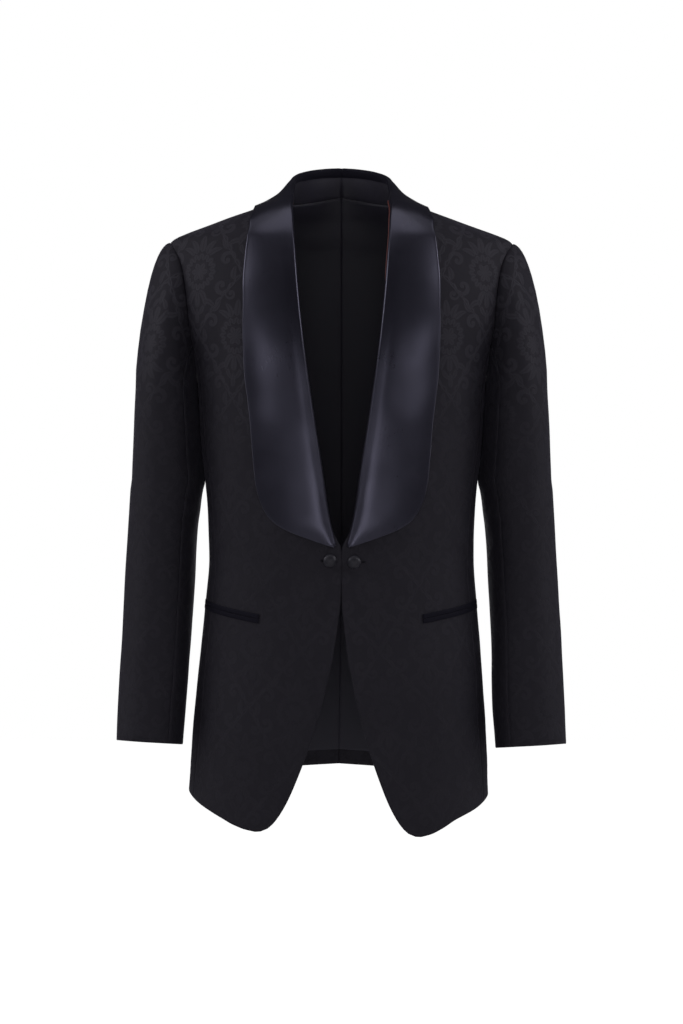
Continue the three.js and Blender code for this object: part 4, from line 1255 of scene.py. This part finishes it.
def cut_buttonhole(piece, side):
    """Cuts the buttonhole through a front."""
    at, _ = button_place(side)
    long = (HOLE_FAR[side] + HOLE_NEAR) * MM
    centre = ((at[0] + side * (HOLE_FAR[side] - HOLE_NEAR) / 2) * MM, at[1] * MM, at[2] * MM)
    bpy.ops.object.select_all(action="DESELECT")
    size = (long, HOLE_DEEP * MM, HOLE_HIGH * MM)
    bpy.ops.mesh.primitive_cube_add(size=1.0, location=centre, scale=size)
    slot = bpy.context.object
    bpy.ops.object.transform_apply(location=True, rotation=True, scale=True)
    bpy.ops.object.mode_set(mode="EDIT")
    bpy.ops.mesh.select_all(action="SELECT")
    bpy.ops.mesh.bevel(offset=HOLE_ROUND * MM, segments=2, affect="EDGES")
    bpy.ops.object.mode_set(mode="OBJECT")
    select_only(piece)
    trim = piece.modifiers.new("buttonhole", "BOOLEAN")
    trim.operation = "DIFFERENCE"
    trim.solver = "EXACT"
    trim.object = slot
    bpy.ops.object.modifier_apply(modifier=trim.name)
    bpy.data.objects.remove(slot)
    bpy.ops.object.shade_smooth_by_angle(angle=math.radians(FRONT_SHARP))


class JACKET_OT_fronts(bpy.types.Operator):
    """Makes the two fronts with their cutaway skirts and buttonholes"""
    bl_idname = "jacket.fronts"
    bl_label = "Fronts"

    def execute(self, context):
        for side, suffix, _ in SIDES:
            piece = panel_piece(
                "Front_" + suffix, side, front_levels(side), FRONT_COLUMNS, 0.006,
                (CLOTH_FINISH, LINING_FINISH),
            )
            cut_buttonhole(piece, side)
        return {"FINISHED"}


class JACKET_OT_side_bodies(bpy.types.Operator):
    """Makes the panels under the arms"""
    bl_idname = "jacket.side_bodies"
    bl_label = "Side bodies"

    def execute(self, context):
        for side, suffix, _ in SIDES:
            panel_piece(
                "Side_body_" + suffix, side, side_levels(side), SIDE_COLUMNS, 0.01,
                (CLOTH_FINISH, LINING_FINISH),
            )
        return {"FINISHED"}


class JACKET_OT_backs(bpy.types.Operator):
    """Makes the two halves of the back and their lining"""
    bl_idname = "jacket.backs"
    bl_label = "Back and back lining"

    def execute(self, context):
        for side, suffix, _ in SIDES:
            panel_piece(
                "Back_" + suffix, side, back_levels(side), BACK_COLUMNS, 0.007,
                (CLOTH_FINISH, CLOTH_FINISH),
            )
            points, out = panel(side, lining_levels(side), LINING_COLUMNS, 0.006, -CLOTH - LINING_GAP)
            cut = flat_pattern(points)
            finishes = (LINING_FINISH, LINING_FINISH)
            piece = shell("Back_lining_" + suffix, points, out, LINING_CLOTH, cut, finishes)
            sheet(piece, "back_lining_" + suffix, points, cut)
        return {"FINISHED"}


class JACKET_OT_sleeves(bpy.types.Operator):
    """Makes the two pieces of each sleeve"""
    bl_idname = "jacket.sleeves"
    bl_label = "Sleeves"

    def execute(self, context):
        for side, suffix, drop in SIDES:
            for name, start, end, columns in (
                ("Top_sleeve_", HINDARM_SEAM - 360, FOREARM_SEAM, TOP_COLUMNS),
                ("Under_sleeve_", FOREARM_SEAM, HINDARM_SEAM, UNDER_COLUMNS),
            ):
                turns = start + (end - start) * spread(columns, 0.007)
                points, out, allowance = sleeve_grid(side, drop, turns)
                cut = flat_pattern(points)
                finishes = (CLOTH_FINISH, LINING_FINISH)
                piece = shell(name + suffix, points, out, SLEEVE_CLOTH, cut, finishes, allowance)
                sheet(piece, name.lower() + suffix, points, cut)
        return {"FINISHED"}


class JACKET_OT_collar(bpy.types.Operator):
    """Makes the two halves of the satin shawl collar"""
    bl_idname = "jacket.collar"
    bl_label = "Shawl collar"

    def execute(self, context):
        lined = len(LINED_SHARES) - 1
        banded = lined + len(BAND_SHARES) + len(ROLL_TURNS) // 2
        for side, suffix, _ in SIDES:
            points, out = collar_grid(side)
            cut = flat_pattern(points)
            finishes = (SATIN_FINISH, LINING_FINISH, JET_FINISH, SATIN_FINISH)
            piece = shell("Shawl_collar_" + suffix, points, out, COLLAR_CLOTH, cut, finishes)
            sections = collar_sections()[:-1]
            rows = len(sections)
            columns = points.shape[1] - 1
            edge = 2 * rows * columns
            for row, section in enumerate(sections):
                if section["edge_z"] > DULL_EDGE_Z:
                    piece.data.polygons[row * columns + columns - 1].material_index = 2
                    piece.data.polygons[edge + 2 * rows - 1 - row].material_index = 2
                if section["inside"] > LINED_FROM:
                    for column in range(banded):
                        face = piece.data.polygons[row * columns + column]
                        face.material_index = 1 if column < lined else 2
            sheet(piece, "shawl_collar_" + suffix, points, cut)
        return {"FINISHED"}


class JACKET_OT_pockets(bpy.types.Operator):
    """Makes the two satin jets of each hip pocket"""
    bl_idname = "jacket.pockets"
    bl_label = "Pocket jets"

    def execute(self, context):
        for side, suffix, _ in SIDES:
            for way, name in ((1, "pocket_jet_upper_"), (-1, "pocket_jet_lower_")):
                points, out = jet_grid(side, way)
                cut = flat_pattern(points)
                finishes = (JET_FINISH, JET_FINISH)
                piece = shell(name.capitalize() + suffix, points, out, JET_THICK, cut, finishes)
                belongs(piece, name + suffix)
        return {"FINISHED"}


class JACKET_OT_buttons(bpy.types.Operator):
    """Makes the two satin covered buttons"""
    bl_idname = "jacket.buttons"
    bl_label = "Covered buttons"

    def execute(self, context):
        for side, suffix, _ in SIDES:
            at, out = button_place(side)
            bpy.ops.object.select_all(action="DESELECT")
            bpy.ops.mesh.primitive_uv_sphere_add(segments=48, ring_count=32, radius=BUTTON_RADIUS * MM)
            piece = bpy.context.object
            bpy.ops.object.mode_set(mode="EDIT")
            bpy.ops.mesh.select_all(action="SELECT")
            bpy.ops.mesh.bisect(
                plane_co=(0, 0, -BUTTON_CUT * BUTTON_RADIUS * MM), plane_no=(0, 0, -1),
                use_fill=True, clear_outer=True,
            )
            bpy.ops.mesh.bevel(offset=BUTTON_ROUND * MM, segments=2, affect="EDGES")
            bpy.ops.object.mode_set(mode="OBJECT")
            for vertex in piece.data.vertices:
                high = BUTTON_DOME if vertex.co.z > 0 else BUTTON_EDGE / BUTTON_CUT
                vertex.co.z *= high / BUTTON_RADIUS
                if vertex.co.z < 0:
                    vertex.co.xy *= 1 + BUTTON_TAPER * vertex.co.z / (BUTTON_EDGE * MM)
            turn = Vector((0, 0, 1)).rotation_difference(Vector(out.tolist()))
            foot = Vector(((at + out * (BUTTON_OFF + BUTTON_EDGE)) * MM).tolist())
            piece.data.transform(turn.to_matrix().to_4x4())
            for vertex in piece.data.vertices:
                vertex.co += foot
            piece.name = "Button_" + suffix
            piece.data.uv_layers[0].name = "pattern"
            piece.data.materials.append(bpy.data.materials[FAILLE_FINISH])
            bpy.ops.object.shade_smooth_by_angle(angle=math.radians(BUTTON_SHARP))
            belongs(piece, "button_" + suffix)
        return {"FINISHED"}


class JACKET_OT_piping(bpy.types.Operator):
    """Makes the coral piping inside the roll"""
    bl_idname = "jacket.piping"
    bl_label = "Piping"

    def execute(self, context):
        for side, suffix, _ in SIDES:
            turned = curve(PIPING_TURN, "z", suffix)
            around = ROLL + PIPING_GAP + PIPING_RADIUS
            first, last = SECTION_STEPS, len(LAPEL["roll_z"]) * SECTION_STEPS
            centres = []
            for section in collar_sections()[first:last + 1]:
                turn = turned(section["roll_z"])
                depth = np.array([CLOTH / 2 + around * sine(turn)])
                along = np.array([ROLL - around * cosine(turn)])
                centres.append(section_point(side, measured(side, section), along, -depth)[0])
            places, faces = tube(np.array(centres), PIPING_RADIUS, PIPING_SIDES)
            mesh = bpy.data.meshes.new("Piping_" + suffix)
            mesh.from_pydata((places * MM).tolist(), [], faces)
            mesh.polygons.foreach_set("use_smooth", np.ones(len(faces), bool))
            mesh.materials.append(bpy.data.materials[CORD_FINISH])
            piece = bpy.data.objects.new("Piping_" + suffix, mesh)
            context.scene.collection.objects.link(piece)
            select_only(piece)
            bpy.ops.object.mode_set(mode="EDIT")
            bpy.ops.mesh.select_all(action="SELECT")
            bpy.ops.mesh.normals_make_consistent(inside=False)
            bpy.ops.object.mode_set(mode="OBJECT")
            belongs(piece, "piping_" + suffix)
        return {"FINISHED"}


class JACKET_OT_link(bpy.types.Operator):
    """Finishes the thread that links the two buttons"""
    bl_idname = "jacket.link"
    bl_label = "Link thread"

    def execute(self, context):
        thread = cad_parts["link_thread"]
        thread.data.materials.clear()
        thread.data.materials.append(bpy.data.materials[THREAD_FINISH])
        return {"FINISHED"}


SENSOR = 36.0
FRAME_HEIGHT = 1.311  # metres that the picture's height takes in at the middle of the jacket
MIDDLE_Y = -0.075
CAMERA_Z = -0.42
FLOOR_Z = -1.35
FLOOR_SIZE = 12.0
FLOOR_CELLS = 24
PAPER_COLOUR = (0.8, 0.8, 0.8, 1.0)
PAPER_ROUGHNESS = 0.9
WHITE = (1.0, 1.0, 1.0, 1.0)
LIGHT_AIM = (0.0, MIDDLE_Y, -0.3)
LIGHT_COLOUR = (0.97, 0.97, 1.0)
# Degrees from the front and above level, distance, width and height in metres, and the power's setting.
# All but those straight in front or above come in pairs.
SOFTBOXES = (
    ("side_softbox", 38, 5, 3.0, 0.85, 0.65, "side_light"),
    ("high_softbox", 72, 30, 2.8, 1.3, 1.0, "high_light"),
    ("edge_softbox", 92, 6, 2.6, 1.0, 1.5, "edge_light"),
    ("low_softbox", 0, -10.5, 3.0, 1.9, 0.4, "low_light"),
    ("front_softbox", 0, 1, 3.2, 0.7, 1.3, "front_light"),
    ("top_softbox", 0, 74, 2.2, 2.2, 1.3, "top_light"),
    ("back_softbox", 0, 174, 2.8, 2.4, 1.6, "back_light"),
)


class JACKET_OT_stage(bpy.types.Operator):
    """Sets the camera, the soft studio light and the pale floor"""
    bl_idname = "jacket.stage"
    bl_label = "Studio"

    def execute(self, context):
        stage = context.scene.jacket_stage
        lens = bpy.data.cameras.new("camera")
        lens.sensor_width = SENSOR
        lens.lens = SENSOR * stage.distance / FRAME_HEIGHT
        camera = bpy.data.objects.new("camera", lens)
        camera.location = (0.0, MIDDLE_Y - stage.distance, CAMERA_Z)
        camera.rotation_euler = (math.radians(90), 0.0, 0.0)
        context.scene.collection.objects.link(camera)
        context.scene.camera = camera

        aim = Vector(LIGHT_AIM)
        for name, turn, rise, distance, wide, high, setting in SOFTBOXES:
            for way in ((-1, 1) if turn else (1,)):
                light = bpy.data.lights.new(name, "AREA")
                light.shape = "RECTANGLE"
                light.size = wide
                light.size_y = high
                light.energy = getattr(stage, setting)
                light.color = LIGHT_COLOUR
                lamp = bpy.data.objects.new(name, light)
                around, up = math.radians(turn) * way, math.radians(rise)
                toward = Vector((
                    math.sin(around) * math.cos(up), -math.cos(around) * math.cos(up), math.sin(up)
                ))
                lamp.location = aim + toward * distance
                lamp.rotation_euler = (-toward).to_track_quat("-Z", "Y").to_euler()
                lamp.visible_camera = False
                context.scene.collection.objects.link(lamp)

        world = bpy.data.worlds.new("studio")
        world.use_nodes = True
        tree = world.node_tree
        back = tree.nodes["Background"]
        ray = tree.nodes.new("ShaderNodeLightPath")
        seen = Wire(tree, ray.outputs["Is Camera Ray"])
        bright = seen * (1.0 - stage.fill) + stage.fill
        tree.links.new(bright.socket, back.inputs["Strength"])
        back.inputs["Color"].default_value = WHITE
        context.scene.world = world
        context.scene.view_settings.view_transform = "Standard"
        context.scene.view_settings.look = "None"

        bpy.ops.object.select_all(action="DESELECT")
        bpy.ops.mesh.primitive_grid_add(
            x_subdivisions=FLOOR_CELLS, y_subdivisions=FLOOR_CELLS, size=FLOOR_SIZE
        )
        floor = context.object
        floor.name = "floor"
        floor.data.transform(Matrix.Translation((0.0, 0.0, FLOOR_Z)))
        paper = bpy.data.materials.new("paper")
        paper.use_nodes = True
        shader = paper.node_tree.nodes["Principled BSDF"]
        shader.inputs["Base Color"].default_value = PAPER_COLOUR
        shader.inputs["Roughness"].default_value = PAPER_ROUGHNESS
        shader.inputs["Emission Color"].default_value = WHITE
        ray = paper.node_tree.nodes.new("ShaderNodeLightPath")
        paper.node_tree.links.new(ray.outputs["Is Camera Ray"], shader.inputs["Emission Strength"])
        floor.data.materials.append(paper)
        return {"FINISHED"}


class JacketCloth(bpy.types.PropertyGroup):
    """Cloth of the body and sleeves"""
    ground: bpy.props.FloatVectorProperty(
        name="Ground", description="Colour of the ground of the jacquard", subtype="COLOR",
        default=(0.0120, 0.0109, 0.0156), min=0.0, max=1.0,
    )
    figure: bpy.props.FloatVectorProperty(
        name="Figure", description="Colour of the raised figure of the jacquard", subtype="COLOR",
        default=(0.0430, 0.0403, 0.0510), min=0.0, max=1.0,
    )
    figure_strength: bpy.props.FloatProperty(
        name="Figure strength", description="How clearly the figure shows", subtype="FACTOR",
        default=0.8, min=0.0, max=2.0,
    )
    repeat_width: bpy.props.FloatProperty(
        name="Repeat width", description="Width of one repeat of the figure", unit="LENGTH",
        default=0.118,
    )
    fold_depth: bpy.props.FloatProperty(
        name="Fold depth", description="How deep the soft folds are", subtype="FACTOR",
        default=1.0, min=0.0, max=2.0,
    )


class JacketSatin(bpy.types.PropertyGroup):
    """Satin of the collar, jets and buttons"""
    shade: bpy.props.FloatVectorProperty(
        name="Shade", description="Darker tone of the satin", subtype="COLOR",
        default=(0.0085, 0.0078, 0.0125), min=0.0, max=1.0,
    )
    light: bpy.props.FloatVectorProperty(
        name="Light", description="Lighter tone of the satin", subtype="COLOR",
        default=(0.0125, 0.0118, 0.0180), min=0.0, max=1.0,
    )
    roughness: bpy.props.FloatProperty(
        name="Roughness", description="How far the satin spreads its gloss", subtype="FACTOR",
        default=0.3, min=0.0, max=1.0,
    )


class JacketStage(bpy.types.PropertyGroup):
    """Camera and light"""
    distance: bpy.props.FloatProperty(
        name="Distance", description="From the camera to the middle of the jacket", unit="LENGTH",
        default=2.8,
    )
    side_light: bpy.props.FloatProperty(
        name="Side light", description="Power of each softbox beside the camera", unit="POWER",
        default=2.6,
    )
    high_light: bpy.props.FloatProperty(
        name="High light", description="Power of each softbox above and to the side", unit="POWER",
        default=16.5,
    )
    edge_light: bpy.props.FloatProperty(
        name="Edge light", description="Power of each softbox level with the sides", unit="POWER",
        default=5.8,
    )
    low_light: bpy.props.FloatProperty(
        name="Low light", description="Power of the strip in front and below", unit="POWER",
        default=5.0,
    )
    front_light: bpy.props.FloatProperty(
        name="Front light", description="Power of the softbox in front", unit="POWER",
        default=2.6,
    )
    top_light: bpy.props.FloatProperty(
        name="Top light", description="Power of the softbox overhead", unit="POWER",
        default=8.0,
    )
    back_light: bpy.props.FloatProperty(
        name="Back light", description="Power of the softbox behind", unit="POWER",
        default=13.0,
    )
    fill: bpy.props.FloatProperty(
        name="Fill", description="Light from all round, as a share of white", subtype="FACTOR",
        default=0.02,
    )


class JACKET_PT_panel(bpy.types.Panel):
    """Lists the pieces of the jacket and its settings"""
    bl_idname = "JACKET_PT_panel"
    bl_label = "Dinner Jacket"
    bl_space_type = "VIEW_3D"
    bl_region_type = "UI"
    bl_category = "Dinner Jacket"

    def draw(self, context):
        column = self.layout.column()
        scene = context.scene
        for settings in (scene.jacket_cloth, scene.jacket_satin, scene.jacket_stage):
            for name in settings.__annotations__:
                column.prop(settings, name)
            column.separator()
        for operator in OPERATORS:
            column.operator(operator.bl_idname)


OPERATORS = (
    JACKET_OT_pockets, JACKET_OT_buttons, JACKET_OT_link, JACKET_OT_piping, JACKET_OT_fronts,
    JACKET_OT_side_bodies, JACKET_OT_backs, JACKET_OT_sleeves, JACKET_OT_collar, JACKET_OT_stage,
)
SETTINGS = (
    ("jacket_cloth", JacketCloth), ("jacket_satin", JacketSatin), ("jacket_stage", JacketStage),
)


def register():
    for name, kind in SETTINGS:
        bpy.utils.register_class(kind)
        setattr(bpy.types.Scene, name, bpy.props.PointerProperty(type=kind))
    for kind in (*OPERATORS, JACKET_PT_panel):
        bpy.utils.register_class(kind)


def unregister():
    for kind in (JACKET_PT_panel, *reversed(OPERATORS)):
        bpy.utils.unregister_class(kind)
    for name, kind in reversed(SETTINGS):
        delattr(bpy.types.Scene, name)
        bpy.utils.unregister_class(kind)


def main():
    register()
    make_finishes()
    for operator in OPERATORS:
        category, name = operator.bl_idname.split(".")
        getattr(getattr(bpy.ops, category), name)()


if __name__ == "__main__":
    main()
